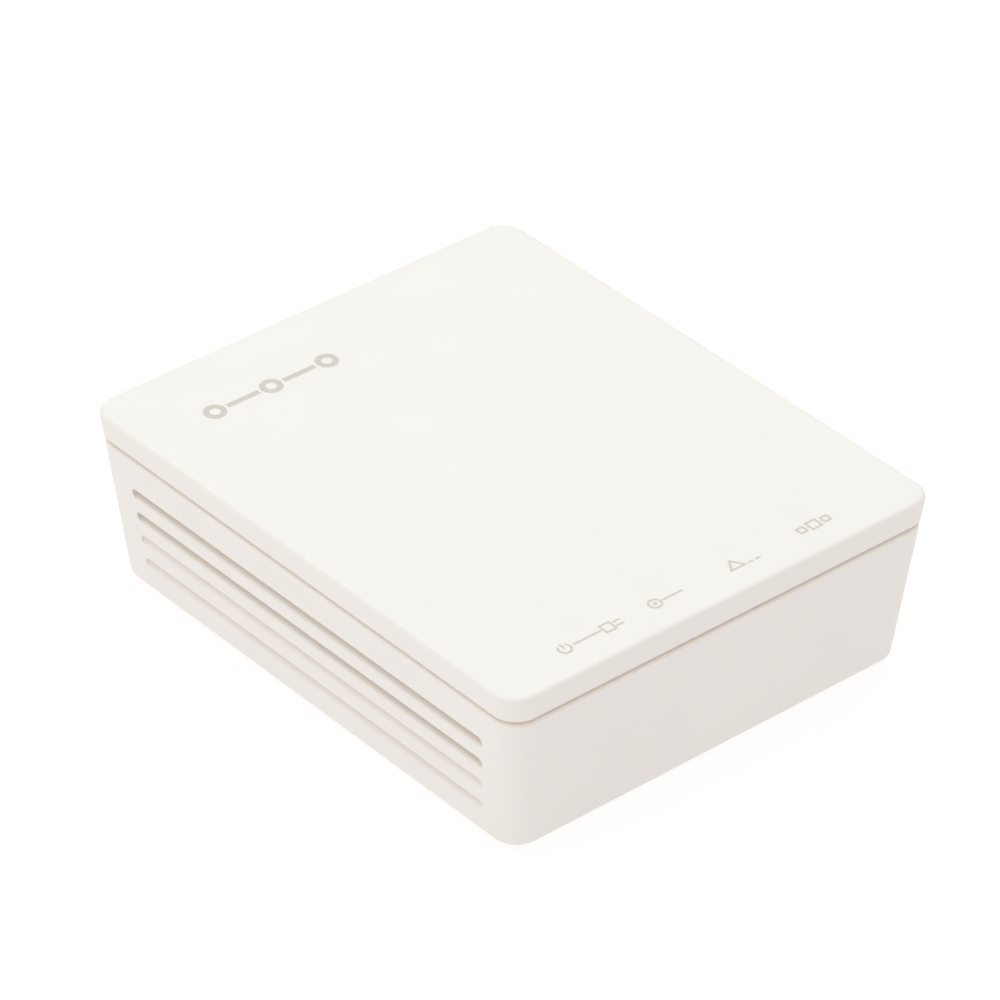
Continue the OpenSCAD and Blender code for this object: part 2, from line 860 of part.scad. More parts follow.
module power_jack_pin() {
    tip_y = mouth_y - 0.8 - jack_pin_r;
    color(steel)
        union() {
            rod(jack_x, jack_z, jack_pin_r - pin_step, mouth_y - jack_depth - pin_root, tip_y);
            rod(jack_x, jack_z, jack_pin_r, mouth_y - jack_depth, tip_y);
            translate([jack_x, tip_y, jack_z])
                sphere(r = jack_pin_r);
        }
}

// Leaf along the foot of the power socket's mouth, which touches the plug's barrel
module power_jack_spring() {
    leaf_w = 2;
    leaf_t = 0.3;
    leaf_z = jack_z - sqrt(jack_r * jack_r - leaf_w * leaf_w / 4) + 0.02;
    color(gold)
        block(jack_x, mouth_y - jack_depth + 4, leaf_z, leaf_w, 7.6, leaf_t);
}

module power_switch() {
    hole_w = plunger_w + 2 * move_gap;
    hole_l = plunger_in + button_travel + 0.5;
    color([0.2, 0.2, 0.22])
        difference() {
            block(button_x, switch_y - switch_l / 2, board_top, switch_w, switch_l, switch_h);
            translate([button_x - hole_w / 2, switch_y - hole_l, button_z - hole_w / 2])
                cube([hole_w, hole_l + over, hole_w]);
        }
}

module switch_plunger() {
    y0 = switch_y - plunger_in;
    y1 = button_back + 2.5;
    color([0.9, 0.9, 0.88])
        translate([button_x - plunger_w / 2, y0, button_z - plunger_w / 2])
            cube([plunger_w, y1 - y0, plunger_w]);
}

// Push cap of the power switch, with a retaining flange behind the panel and a dished face
module power_button() {
    socket_w = plunger_w + 2 * snug;
    tip_y = panel_y + button_out;
    ease = 0.4;
    color([0.8, 0.8, 0.79])
        difference() {
            translate([button_x, button_back, button_z])
                rotate([-90, 0, 0])
                    rotate_extrude()
                        polygon([
                            [0, 0], [button_flange_r, 0], [button_flange_r, button_flange],
                            [button_r, button_flange], [button_r, tip_y - button_back - ease],
                            [button_r - ease, tip_y - button_back], [button_r - 1, tip_y - button_back],
                            [0, tip_y - button_back - 0.3]
                        ]);
            translate([button_x - socket_w / 2, button_back - over, button_z - socket_w / 2])
                cube([socket_w, 2.5 + over, socket_w]);
        }
}

module reset_switch() {
    hole_r = reset_plunger_r + move_gap;
    color(ink_black)
        difference() {
            block(reset_x, reset_y - reset_l / 2, board_top, reset_w, reset_l, reset_h);
            rod(reset_x, reset_z, hole_r, reset_y - 1 - reset_travel - 0.5, reset_y + over);
        }
}

module reset_plunger() {
    color([0.9, 0.9, 0.88])
        rod(reset_x, reset_z, reset_plunger_r, reset_y - 1, reset_y + reset_plunger_out);
}

// Indicator light: a small chip with a low lens
module lamp(i) {
    color([0.95, 0.93, 0.8])
        union() {
            block(lamp_x(i), lamp_y, board_top, lamp_w, lamp_d, lamp_h / 2);
            block(lamp_x(i), lamp_y, board_top, lamp_w - 0.6, lamp_d, lamp_h);
        }
}

// Dark block that keeps the light of each lamp to its own pipe
module light_shroud() {
    w = 3 * lamp_pitch + 2 * (pipe_r + pipe_gap) + 3;
    color(ink_black)
        difference() {
            block(0, lamp_y, board_top, w, 2 * shroud_half, shroud_top - board_top);
            for (i = [0:3])
                translate([lamp_x(i), lamp_y, board_top - over])
                    cylinder(r = pipe_r + pipe_gap, h = shroud_top - board_top + 2 * over);
        }
}

// One clear moulding: a bar with a pipe at each lamp, up into the cover's pockets
module light_guide() {
    low = board_top + lamp_h + 0.5;
    high = case_h - lamp_skin - 0.2;
    color([0.85, 0.93, 0.97, 0.6])
        union() {
            block(0, lamp_y, bar_z, 3 * lamp_pitch + 2 * pipe_r + 2, 3, bar_h);
            for (i = [0:3])
                translate([lamp_x(i), lamp_y, low])
                    cylinder(r = pipe_r, h = high - low);
        }
}

base_shell();
top_cover();
rating_label();
for (i = [0:3]) foot(i);
main_board();
board_screws();
processor();
thermal_pad();
heat_sink();
memory_chip();
flash_chip();
crystal();
laser_driver();
shield_can();
line_transformer();
regulator();
power_inductor();
input_capacitor();
output_capacitor();
chip_resistors();
chip_leads();
lan_socket();
lan_contacts();
optical_housing();
optical_latch();
optical_receptacle();
ferrule_sleeve();
optics_block();
laser_can();
detector_can();
power_jack();
power_jack_pin();
power_jack_spring();
power_switch();
switch_plunger();
power_button();
reset_switch();
reset_plunger();
for (i = [0:3]) lamp(i);
light_shroud();
light_guide();
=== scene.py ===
"""Optical network terminal: mouldings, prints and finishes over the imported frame, on a pale studio floor."""

import json
from math import asin, cos, pi, radians, sin

import bmesh
import bpy
from bpy.props import FloatProperty, FloatVectorProperty, PointerProperty
from mathutils import Matrix, Vector


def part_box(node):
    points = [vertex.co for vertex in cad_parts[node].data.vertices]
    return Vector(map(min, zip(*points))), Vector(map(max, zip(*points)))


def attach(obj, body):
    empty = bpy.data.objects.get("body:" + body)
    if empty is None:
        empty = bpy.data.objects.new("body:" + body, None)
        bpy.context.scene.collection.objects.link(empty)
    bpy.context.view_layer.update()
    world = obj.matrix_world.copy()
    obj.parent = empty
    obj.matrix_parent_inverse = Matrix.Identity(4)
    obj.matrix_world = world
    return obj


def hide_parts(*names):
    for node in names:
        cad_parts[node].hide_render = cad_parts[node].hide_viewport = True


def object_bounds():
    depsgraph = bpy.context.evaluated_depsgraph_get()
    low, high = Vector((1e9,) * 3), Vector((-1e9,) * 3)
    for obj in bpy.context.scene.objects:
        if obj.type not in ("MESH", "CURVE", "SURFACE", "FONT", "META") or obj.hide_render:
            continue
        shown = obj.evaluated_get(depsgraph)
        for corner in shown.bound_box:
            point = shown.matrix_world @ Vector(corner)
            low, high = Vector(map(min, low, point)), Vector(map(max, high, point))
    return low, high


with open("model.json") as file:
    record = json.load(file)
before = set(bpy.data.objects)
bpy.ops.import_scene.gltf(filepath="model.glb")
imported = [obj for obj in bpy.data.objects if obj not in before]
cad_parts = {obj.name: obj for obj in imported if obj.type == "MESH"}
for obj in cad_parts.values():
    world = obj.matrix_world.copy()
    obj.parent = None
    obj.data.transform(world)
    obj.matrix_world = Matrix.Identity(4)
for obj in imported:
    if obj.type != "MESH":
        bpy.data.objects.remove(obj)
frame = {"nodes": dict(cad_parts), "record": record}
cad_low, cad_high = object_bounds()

bl_info = {
    "name": "Optical network terminal",
    "version": (1, 0, 0),
    "blender": (4, 5, 0),
    "location": "View3D > Sidebar > Terminal",
    "description": "Builds the mouldings, sockets, prints and finishes of a small fibre terminal",
    "category": "Object",
}

MM = 0.001
OVER = 1 * MM  # how far a cut runs past the face it opens
CORNER_STEPS = 14
ARC_STEPS = 6


# ---------------------------------------------------------------- settings


def linear(sheet):
    """Turns an sRGB hex colour into linear red, green and blue."""
    parts = [int(sheet[i : i + 2], 16) / 255 for i in (1, 3, 5)]
    return [c / 12.92 if c <= 0.04045 else ((c + 0.055) / 1.055) ** 2.4 for c in parts]


def length(name, description, millimetres):
    """A length setting, given in millimetres and kept in metres."""
    return FloatProperty(
        name=name, description=description, default=millimetres * MM, unit="LENGTH", precision=5
    )


def colour(name, description, sheet):
    """A colour setting, given as an sRGB hex value."""
    return FloatVectorProperty(
        name=name, description=description, default=linear(sheet), subtype="COLOR", min=0, max=1
    )


def angle(name, description, degrees):
    """An angle setting, given in degrees and kept in radians."""
    return FloatProperty(name=name, description=description, default=radians(degrees), unit="ROTATION")


def amount(name, description, value):
    """A setting that is a plain number."""
    return FloatProperty(name=name, description=description, default=value)


class TerminalCase(bpy.types.PropertyGroup):
    """Sizes of the cover and the base."""

    corner: length("Corner radius", "Radius of the upright corners", 4.1)
    top_edge: length("Top edge", "Radius of the edge round the top face", 0.8)
    foot_edge: length("Foot edge", "Radius of the edge under the base", 1.0)
    lean: amount("Lean", "How far a side leans in for each unit down", 0.1)
    wall: length("Wall", "Thickness of the cover and the base", 2.0)
    seam: length("Seam", "Height of the shadow gap between the cover and the base", 0.5)
    cover_ease: length("Cover's lower edge", "Radius of the edge above the seam", 0.15)
    shoulder: length("Shoulder", "Radius of the base's edge below the seam", 0.8)
    tongue: length("Tongue", "Height of the base's tongue, which the cover fits over", 2.0)
    tongue_gap: length("Tongue gap", "Gap between the tongue and the cover", 0.1)
    lip: length("Cut edges", "Radius of the edge round an opening", 0.22)


class TerminalGrooves(bpy.types.PropertyGroup):
    """Sizes of the grooves in the sides."""

    height: length("Height", "Height of one groove", 1.8)
    pitch: length("Pitch", "Distance from one groove to the next", 4.2)
    drop: length("Drop", "From the cover's lower edge to the first groove", 6.3)
    open_depth: length("Upper depth", "Depth of the upper two grooves at their upper edge, past the wall", 3.0)
    depth: length("Lower depth", "Depth of the lower two grooves at their upper edge", 1.2)
    front: length("Front end", "From the front face to the groove ends", 6.8)
    rear: length("Rear end", "From the rear face to the groove ends", 7.7)
    upper_lip: length("Upper edge", "Radius of a groove's upper edge", 0.04)
    lower_lip: length("Lower edge", "How far a groove's lower edge blends into the side", 0.5)


class TerminalPrints(bpy.types.PropertyGroup):
    """Sizes and places of the printed marks."""

    ink: length("Ink", "Thickness of the printed ink", 0.015)
    mark_left: length("Mark's left end", "From the middle of the case to the mark's left end", -29.3)
    mark_length: length("Mark's length", "Length of the linked-ring mark", 25.2)
    mark_height: length("Mark's height", "Height of the linked-ring mark", 3.7)
    mark_in: length("Mark's inset", "From the rear edge of the cover to the mark's middle", 13.4)
    sign_height: length("Signs' height", "Height of the light signs", 2.4)
    sign_in: length("Signs' inset", "From the front edge of the cover to the signs' middle", 5.8)
    stroke: length("Stroke", "Width of a sign's strokes", 0.36)


class TerminalColours(bpy.types.PropertyGroup):
    """Colours of the outer mouldings and the ink."""

    cover: colour("Cover", "Warm white of the cover", "#E9E8E4")
    base: colour("Base", "Warm white of the base", "#E9E8E4")
    ink: colour("Ink", "Warm grey of the prints", "#CBC6BC")
    button: colour("Button", "Pale grey of the power button", "#BFC0C0")
    adapter: colour("Optical socket", "Blue of the optical socket", "#1F5FA8")


class TerminalStudio(bpy.types.PropertyGroup):
    """Camera and light."""

    azimuth: angle("Azimuth", "Turn of the camera", -40.538)
    elevation: angle("Elevation", "Height of the camera", 35.0)
    roll: angle("Roll", "Tilt of the camera", 0.459)
    distance: length("Distance", "From the camera to the point that it aims at", 970.76)
    focal: FloatProperty(name="Focal length", description="Lens, in millimetres", default=231.81, unit="CAMERA")
    aim_right: length("Aim right", "From the middle of the case to the aimed point, along its width", 4.34)
    aim_back: length("Aim back", "From the middle of the case to the aimed point, along its depth", 7.048)
    sky: amount("Room", "Brightness of the room", 0.762)
    sky_tint: colour("Room's tint", "Colour of the room's light", "#FFF1EF")
    overhead: amount("Overhead", "Power of the overhead softbox, in watts", 5.37)
    overhead_tint: colour("Overhead tint", "Colour of the overhead softbox", "#E6FFFF")
    left: amount("Left", "Power of the softbox at the left, in watts", 0.92)
    left_tint: colour("Left tint", "Colour of the softbox at the left", "#FFFBFB")
    table: amount("Table", "Brightness of the light in the table", 0.83)
    table_tint: colour("Table tint", "Colour of the light in the table", "#FBFBFA")


# ---------------------------------------------------------------- outlines and meshes


def outline(width, depth, radius, centre=(0, 0), steps=CORNER_STEPS):
    """Points round a rectangle with round corners, or round a slot or circle where the radius is half a side."""
    points = []
    for quarter in range(4):
        cx = centre[0] + (width / 2 - radius) * (1 if quarter in (0, 3) else -1)
        cy = centre[1] + (depth / 2 - radius) * (1 if quarter in (0, 1) else -1)
        for step in range(steps + 1):
            angle = (quarter + step / steps) * pi / 2
            point = Vector((cx + radius * cos(angle), cy + radius * sin(angle)))
            if not points or (point - points[-1]).length > 1e-7:
                points.append(point)
    if (points[0] - points[-1]).length < 1e-7:
        points.pop()
    return points


def arc(radius, start, end, steps=ARC_STEPS):
    """Across and along distances on an arc, from one angle to another."""
    for step in range(steps + 1):
        angle = start + (end - start) * step / steps
        yield radius * cos(angle), radius * sin(angle)


def loft(mesh, rings, closed=False):
    """Skins a row of rings with the same number of points. The ends are capped, or joined if it is closed."""
    loops = [[mesh.verts.new(point) for point in ring] for ring in rings]
    pairs = list(zip(loops, loops[1:]))
    if closed:
        pairs.append((loops[-1], loops[0]))
    else:
        mesh.faces.new(reversed(loops[0]))
        mesh.faces.new(loops[-1])
    for low, high in pairs:
        for i in range(len(low)):
            j = (i + 1) % len(low)
            mesh.faces.new((low[i], low[j], high[j], high[i]))


def hoop(mesh, outer, inner, low, high):
    """Flat ring between two outlines with the same number of points."""
    loft(mesh, [upright(outer, low), upright(outer, high), upright(inner, high), upright(inner, low)], closed=True)


def upright(points, z):
    """Lifts flat points to a height."""
    return [Vector((p[0], p[1], z)) for p in points]


def slab(mesh, points, low, high):
    """Plate with straight sides between two heights."""
    loft(mesh, [upright(points, low), upright(points, high)])


def eased_block(mesh, low, high, corner, ease, top_only=False):
    """Moulded block with round upright corners and eased edges at its top and foot."""
    middle = ((low[0] + high[0]) / 2, (low[1] + high[1]) / 2)
    width, depth = high[0] - low[0], high[1] - low[1]

    def ring(inset, z):
        radius = max(corner - inset, 0.02 * MM)
        return upright(outline(width - 2 * inset, depth - 2 * inset, radius, middle, steps=4), z)

    rings = [ring(0, low[2])] if top_only else []
    if not top_only:
        rings += [ring(ease - x, low[2] + ease - y) for x, y in arc(ease, pi / 2, 0, 3)]
    rings += [ring(ease - x, high[2] - ease + y) for x, y in arc(ease, 0, pi / 2, 3)]
    loft(mesh, rings)


def lathe(mesh, profile, centre, axis="Z", steps=48):
    """Turns a profile of radius and distance about an axis through a point."""
    rings = []
    for radius, along in profile:
        ring = []
        for i in range(steps):
            angle = 2 * pi * i / steps
            u, v = radius * cos(angle), radius * sin(angle)
            offset = {"Z": (u, v, along), "Y": (v, along, u), "X": (along, u, v)}[axis]
            ring.append(Vector(centre) + Vector(offset))
        rings.append(ring)
    loft(mesh, rings)


def rounded(profile, radius, steps=4):
    """Eases each inner corner of a profile."""
    points = [Vector(profile[0])]
    for before, corner, after in zip(profile, profile[1:], profile[2:]):
        before, corner, after = Vector(before), Vector(corner), Vector(after)
        reach = min(radius, (before - corner).length * 0.45, (after - corner).length * 0.45)
        start = corner + (before - corner).normalized() * reach
        end = corner + (after - corner).normalized() * reach
        for step in range(steps + 1):
            t = step / steps
            points.append(start * (1 - t) ** 2 + corner * 2 * t * (1 - t) + end * t * t)
    return points + [Vector(profile[-1])]


def opening(mesh, shape, place, depth, lip):
    """Cutting solid for an opening: its shape grows outwards at the mouth, so that the cut's edge comes out round."""
    steps = [(depth, 0)] + [(lip * (1 - y), lip - x) for x, y in arc(lip, 0, radians(78))]
    flare = steps[-1][1] + 0.25 * MM
    steps += [(-0.06 * MM, flare), (-OVER, flare)]
    loft(mesh, [[place(p[0], p[1], away) for p in shape(grow)] for away, grow in steps])


def as_object(name, mesh):
    """Turns a bmesh into an object in the scene."""
    bmesh.ops.recalc_face_normals(mesh, faces=mesh.faces)
    data = bpy.data.meshes.new(name)
    mesh.to_mesh(data)
    mesh.free()
    made = bpy.data.objects.new(name, data)
    bpy.context.scene.collection.objects.link(made)
    return made


def carve(target, tool, operation="DIFFERENCE"):
    """Cuts a bmesh out of an object, or joins it on."""
    cutter = as_object("cutter", tool)
    change = target.modifiers.new("carve", "BOOLEAN")
    change.operation = operation
    change.solver = "EXACT"
    change.object = cutter
    scene = bpy.context.evaluated_depsgraph_get()
    result = bpy.data.meshes.new_from_object(target.evaluated_get(scene))
    if len(result.vertices) == 0:
        raise RuntimeError(f"{operation} left nothing of {target.name}")
    target.modifiers.remove(change)
    before, target.data = target.data, result
    bpy.data.meshes.remove(before)
    bpy.data.meshes.remove(cutter.data)


def dress(piece, slot, body="case", stands_for=(), sharp=32):
    """Gives a piece its finish and even shading, and ties it to its body."""
    piece.data.shade_smooth()
    piece.data.set_sharp_from_angle(angle=radians(sharp))
    even = piece.modifiers.new("even shading", "WEIGHTED_NORMAL")
    even.keep_sharp = True
    even.weight = 100
    piece.data.materials.clear()
    piece.data.materials.append(finish(slot))
    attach(piece, body)
    if stands_for:
        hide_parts(*stands_for)
    return piece


def soften(node, width, segments=2):
    """Keeps a CAD node, breaks its edges and gives it the finish of its slot."""
    part = frame["nodes"][node]
    weld = part.modifiers.new("weld", "WELD")
    weld.merge_threshold = 0.001 * MM
    flat = part.modifiers.new("flat faces", "DECIMATE")
    flat.decimate_type = "DISSOLVE"
    flat.angle_limit = radians(0.5)
    if width > 0:
        edge = part.modifiers.new("broken edges", "BEVEL")
        edge.width = width
        edge.segments = segments
        edge.limit_method = "ANGLE"
        edge.angle_limit = radians(40)
    even = part.modifiers.new("even shading", "WEIGHTED_NORMAL")
    even.keep_sharp = False
    part.data.materials.clear()
    part.data.materials.append(finish(slot_of[node]))


def soften_all(edges):
    """Softens several CAD nodes, each by its own width in millimetres."""
    for node, edge in edges.items():
        soften(node, edge * MM)


slot_of = {entry["node"]: entry["material_slot"] for entry in frame["record"]["subparts"]}
boxes = {}


def box(node):
    """Lowest and highest corner of a CAD node, worked out once."""
    if node not in boxes:
        boxes[node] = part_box(node)
    return boxes[node]


# ---------------------------------------------------------------- materials


def add(tree, kind, links=None, **settings):
    """Adds a node. A setting that the node itself lacks goes on its input, and links join other nodes' outputs."""
    made = tree.nodes.new("ShaderNode" + kind)
    for name, value in settings.items():
        if hasattr(made, name):
            setattr(made, name, value)
        else:
            made.inputs[name.replace("_", " ")].default_value = value
    for name, source in (links or {}).items():
        tree.links.new(source, made.inputs[name])
    return made


def begin(name, **settings):
    """A new material with its shader, and the place on the object that its patterns are drawn by."""
    material = bpy.data.materials.new(name)
    material.use_nodes = True
    tree = material.node_tree
    tree.nodes.clear()
    shader = add(tree, "BsdfPrincipled")
    for name_of, value in settings.items():
        shader.inputs[name_of.replace("_", " ")].default_value = value
    add(tree, "OutputMaterial", {"Surface": shader.outputs[0]})
    spot = add(tree, "TexCoord").outputs["Object"]
    return material, tree, shader, spot


def grain(tree, spot, shader, size, height, detail=2.0, stretch=None):
    """Fine relief of a given grain size and height. Returns the pattern, to tint other things by."""
    if stretch:
        spot = add(tree, "Mapping", {"Vector": spot}, Scale=stretch).outputs[0]
    pattern = add(tree, "TexNoise", {"Vector": spot}, Scale=1 / size, Detail=detail).outputs[0]
    bump = add(tree, "Bump", {"Height": pattern}, Strength=1.0, Distance=height)
    tree.links.new(bump.outputs[0], shader.inputs["Normal"])
    return pattern


def drift(tree, spot, size, low, high, detail=2.0):
    """Slow change between two colours over a given distance. Returns the colour."""
    pattern = add(tree, "TexNoise", {"Vector": spot}, Scale=1 / size, Detail=detail).outputs[0]
    ramp = add(tree, "ValToRGB", {"Fac": pattern})
    ramp.color_ramp.elements[0].position = 0.35
    ramp.color_ramp.elements[1].position = 0.65
    ramp.color_ramp.elements[0].color = (*low, 1)
    ramp.color_ramp.elements[1].color = (*high, 1)
    return ramp.outputs[0]


def shade(rgb, factor):
    """A colour made darker or lighter."""
    return [min(1.0, c * factor) for c in rgb]


def spread(tree, pattern, low, high):
    """Maps a pattern onto a narrow range of values."""
    return add(tree, "MapRange", {"Value": pattern}, From_Min=0.3, From_Max=0.7, To_Min=low, To_Max=high).outputs[0]


def reckon(tree, kind, *values):
    """One step of arithmetic on patterns and numbers."""
    step = add(tree, "Math", operation=kind)
    for place, value in zip(step.inputs, values):
        if isinstance(value, (int, float)):
            place.default_value = value
        else:
            tree.links.new(value, place)
    return step.outputs[0]


def fade(tree, value, start, stop, low=0.0, high=1.0):
    """Smooth change from one value to another between two distances."""
    return add(
        tree, "MapRange", {"Value": value}, interpolation_type="SMOOTHSTEP",
        From_Min=start, From_Max=stop, To_Min=low, To_Max=high,
    ).outputs[0]


def over(tree, amount, under, rgb):
    """Lays a colour over another, as far as an amount says."""
    mixed = add(tree, "Mix", {"Factor": amount}, data_type="RGBA")
    tree.links.new(under, mixed.inputs["A"])
    mixed.inputs["B"].default_value = (*rgb, 1)
    return mixed.outputs["Result"]


def painted_crevice_shade(tree, spot, under, rgb):
    """Painted warm shade in the seam and in the side grooves: a slightly darker, warmer tint of the plastic that
    stands in for the shade there.
    """
    at, warm_shade_tint = heights(), linear("#FCF5EB")
    x, y, z = add(tree, "SeparateXYZ", {"Vector": spot}).outputs
    seam = (at["seam_bottom"] + at["seam_top"]) / 2
    away = reckon(tree, "ABSOLUTE", reckon(tree, "SUBTRACT", z, seam))
    # Painted shade along the seam, fading out within 0.9 mm of its middle
    near = fade(tree, away, 0.25 * MM, 0.9 * MM, 0.6, 0.0)
    under = over(tree, near, under, [a * b for a, b in zip(rgb, warm_shade_tint)])
    side = reckon(tree, "MULTIPLY_ADD", z, case().lean, cad_high.x - case().lean * at["side_top"])
    depth = reckon(tree, "SUBTRACT", side, reckon(tree, "ABSOLUTE", x))
    inside = fade(tree, depth, 0.04 * MM, 1.0 * MM)
    for limit in (
        fade(tree, depth, 4.0 * MM, 4.4 * MM, 1.0, 0.0),
        fade(tree, reckon(tree, "ABSOLUTE", y), cad_high.y - 6.0 * MM, cad_high.y - 5.6 * MM, 1.0, 0.0),
        fade(tree, z, at["floor"] - 0.3 * MM, at["floor"] + 0.3 * MM),
        fade(tree, z, at["seam_bottom"] - 2.4 * MM, at["seam_bottom"] - 2.0 * MM, 1.0, 0.0),
    ):
        inside = reckon(tree, "MULTIPLY", inside, limit)
    # Painted shade inside the side grooves, a touch darker than along the seam
    return over(tree, inside, under, [0.97 * a * b for a, b in zip(rgb, warm_shade_tint)])


def moulded_white(name, rgb, lamps):
    """White ABS moulded in a spark-eroded tool: an even matt skin that scatters light a little way in."""
    material, tree, shader, spot = begin(
        name,
        IOR=1.53,
        Subsurface_Weight=0.12,
        Subsurface_Radius=(1.0, 0.85, 0.65),
        Subsurface_Scale=0.6 * MM,
    )
    # The real grain is about 0.1 mm; it is drawn at 0.3 mm, because a finer one doesn't show.
    pattern = grain(tree, spot, shader, 0.3 * MM, 0.006 * MM, detail=3.0)
    tree.links.new(spread(tree, pattern, 0.52, 0.62), shader.inputs["Roughness"])
    tint = drift(tree, spot, 14 * MM, shade(rgb, 0.992), shade(rgb, 1.004))
    # Small dark specks of regrind in the plastic, each about 0.1 mm across
    cells = add(tree, "TexVoronoi", {"Vector": spot}, Scale=1 / (5 * MM))
    speck = reckon(tree, "LESS_THAN", cells.outputs["Distance"], 0.016)
    result = over(tree, reckon(tree, "MULTIPLY", speck, 0.25), tint, shade(rgb, 0.5))
    # Painted warm shade in the seam and in the side grooves
    result = painted_crevice_shade(tree, spot, result, rgb)
    for lamp in lamps:
        # The skin over each hidden light is thin, so it lets a little of the dark pocket show
        middle = middle_of(lamp)
        flat = add(tree, "Mapping", {"Vector": spot}, Scale=(1, 1, 0), Location=(-middle.x, -middle.y, 0))
        away = add(tree, "VectorMath", {0: flat.outputs[0]}, operation="LENGTH").outputs["Value"]
        result = over(tree, fade(tree, away, 1.2 * MM, 2.6 * MM, 0.02, 0.0), result, shade(rgb, 0.4))
    tree.links.new(result, shader.inputs["Base Color"])
    return material


def cover_plastic():
    return moulded_white("ABS moulding, cover white", colours().cover, LAMPS)


def base_plastic():
    return moulded_white("ABS moulding, base white", colours().base, ())


def pad_ink():
    """Pad-printing ink: a thin warm grey film, a touch smoother than the plastic under it."""
    material, tree, shader, spot = begin("pad-printing ink, warm grey", IOR=1.5)
    pattern = grain(tree, spot, shader, 0.3 * MM, 0.004 * MM)
    tree.links.new(spread(tree, pattern, 0.42, 0.5), shader.inputs["Roughness"])
    rgb = colours().ink
    tree.links.new(drift(tree, spot, 0.5 * MM, shade(rgb, 0.985), shade(rgb, 1.01)), shader.inputs["Base Color"])
    return material


def label_film():
    """Satin polyester label film: smooth and bright, with a slight curl of its gloss."""
    material, tree, shader, spot = begin("polyester label film", IOR=1.57)
    pattern = grain(tree, spot, shader, 3 * MM, 0.01 * MM)
    tree.links.new(spread(tree, pattern, 0.26, 0.34), shader.inputs["Roughness"])
    rgb = linear("#F0F0EC")
    tree.links.new(drift(tree, spot, 6 * MM, shade(rgb, 0.985), rgb), shader.inputs["Base Color"])
    return material


def foot_rubber():
    """Silicone rubber: dark, dull and slightly dusty."""
    material, tree, shader, spot = begin("silicone rubber, dark grey", IOR=1.43, Sheen_Weight=0.15)
    pattern = grain(tree, spot, shader, 0.4 * MM, 0.02 * MM, detail=4.0)
    tree.links.new(spread(tree, pattern, 0.75, 0.92), shader.inputs["Roughness"])
    tree.links.new(
        drift(tree, spot, 1.2 * MM, linear("#2B2B2C"), linear("#3A3A3A")), shader.inputs["Base Color"]
    )
    return material


def laminate():
    """Glass-epoxy board under green solder mask: glossy, with the copper runs showing as paler lanes."""
    material, tree, shader, spot = begin(
        "glass-epoxy laminate, green mask", IOR=1.5, Coat_Weight=0.6, Coat_Roughness=0.12
    )
    lanes = add(
        tree, "TexBrick", {"Vector": spot}, Scale=1 / (2.4 * MM), Mortar_Size=0.06, Mortar_Smooth=0.3,
        Color1=(*linear("#0E5A33"), 1), Color2=(*linear("#0A4A2A"), 1), Mortar=(*linear("#2A8A55"), 1),
    )
    tree.links.new(lanes.outputs["Color"], shader.inputs["Base Color"])
    bump = add(tree, "Bump", {"Height": lanes.outputs["Fac"]}, Strength=1.0, Distance=0.02 * MM)
    tree.links.new(bump.outputs[0], shader.inputs["Normal"])
    weave = add(tree, "TexNoise", {"Vector": spot}, Scale=1 / (0.6 * MM)).outputs[0]
    tree.links.new(spread(tree, weave, 0.3, 0.42), shader.inputs["Roughness"])
    return material


def metal(name, low, high, roughness, size, height, stretch=None):
    """A metal whose colour, roughness and relief share one grain."""
    material, tree, shader, spot = begin(name, Metallic=1.0)
    pattern = grain(tree, spot, shader, size, height, stretch=stretch)
    tree.links.new(spread(tree, pattern, *roughness), shader.inputs["Roughness"])
    tree.links.new(drift(tree, spot, 2.5 * MM, linear(low), linear(high)), shader.inputs["Base Color"])
    return material


def zinc_steel():
    """Zinc-plated screws: bright, with the cloudy crystals of the plating."""
    return metal("zinc-plated steel", "#B9BCC0", "#CDCFD0", (0.24, 0.4), 0.6 * MM, 0.006 * MM)


def can_steel():
    """Pressed tinplate: rolled lines along the sheet."""
    return metal("pressed tinplate", "#C2C4C6", "#D0D1D1", (0.2, 0.34), 0.25 * MM, 0.004 * MM, (0.06, 1, 1))


def sink_aluminium():
    """Extruded aluminium: fine lines along the fins."""
    return metal("extruded aluminium", "#B4B7BA", "#C6C8CA", (0.3, 0.46), 0.25 * MM, 0.008 * MM, (1, 0.05, 1))


def can_aluminium():
    """Drawn aluminium can: soft rings of brightness round its side."""
    return metal("drawn aluminium", "#C0C2C4", "#D0D2D3", (0.25, 0.36), 0.3 * MM, 0.004 * MM, (0.2, 0.2, 1))


def tin():
    """Tinned leads: slightly wavy and grey."""
    return metal("tinned copper", "#C0C1C0", "#D2D2CF", (0.25, 0.42), 0.3 * MM, 0.01 * MM)


def gold():
    """Gold flash over nickel: warm, with thin polished streaks."""
    return metal("gold-flashed bronze", "#D6AE58", "#E6C574", (0.14, 0.26), 0.2 * MM, 0.003 * MM, (1, 0.2, 1))


def nickel():
    """Nickel-plated pin: bright and a little yellow, with turning marks round it."""
    return metal("nickel-plated brass", "#C9C4B8", "#D8D4C8", (0.12, 0.22), 0.15 * MM, 0.003 * MM, (0.2, 1, 0.2))


def plastic(name, low, high, roughness, size, height, ior=1.5, **extra):
    """A plastic, rubber or ceramic with its grain. Its two colours are hex values or linear."""
    material, tree, shader, spot = begin(name, IOR=ior, **extra)
    pattern = grain(tree, spot, shader, size, height, detail=3.0)
    tree.links.new(spread(tree, pattern, *roughness), shader.inputs["Roughness"])
    low, high = (linear(c) if isinstance(c, str) else c for c in (low, high))
    tree.links.new(drift(tree, spot, 4 * MM, low, high), shader.inputs["Base Color"])
    return material


def chip_resin():
    """Epoxy moulding compound: near black, dull, with a sugary grain of silica."""
    return plastic("epoxy moulding compound", "#1C1C1D", "#242425", (0.5, 0.66), 0.2 * MM, 0.01 * MM, 1.55)


def ferrite():
    """Sintered ferrite: dark grey and gritty."""
    return plastic("sintered ferrite", "#3A3A3B", "#464645", (0.6, 0.8), 0.25 * MM, 0.02 * MM, 1.6)


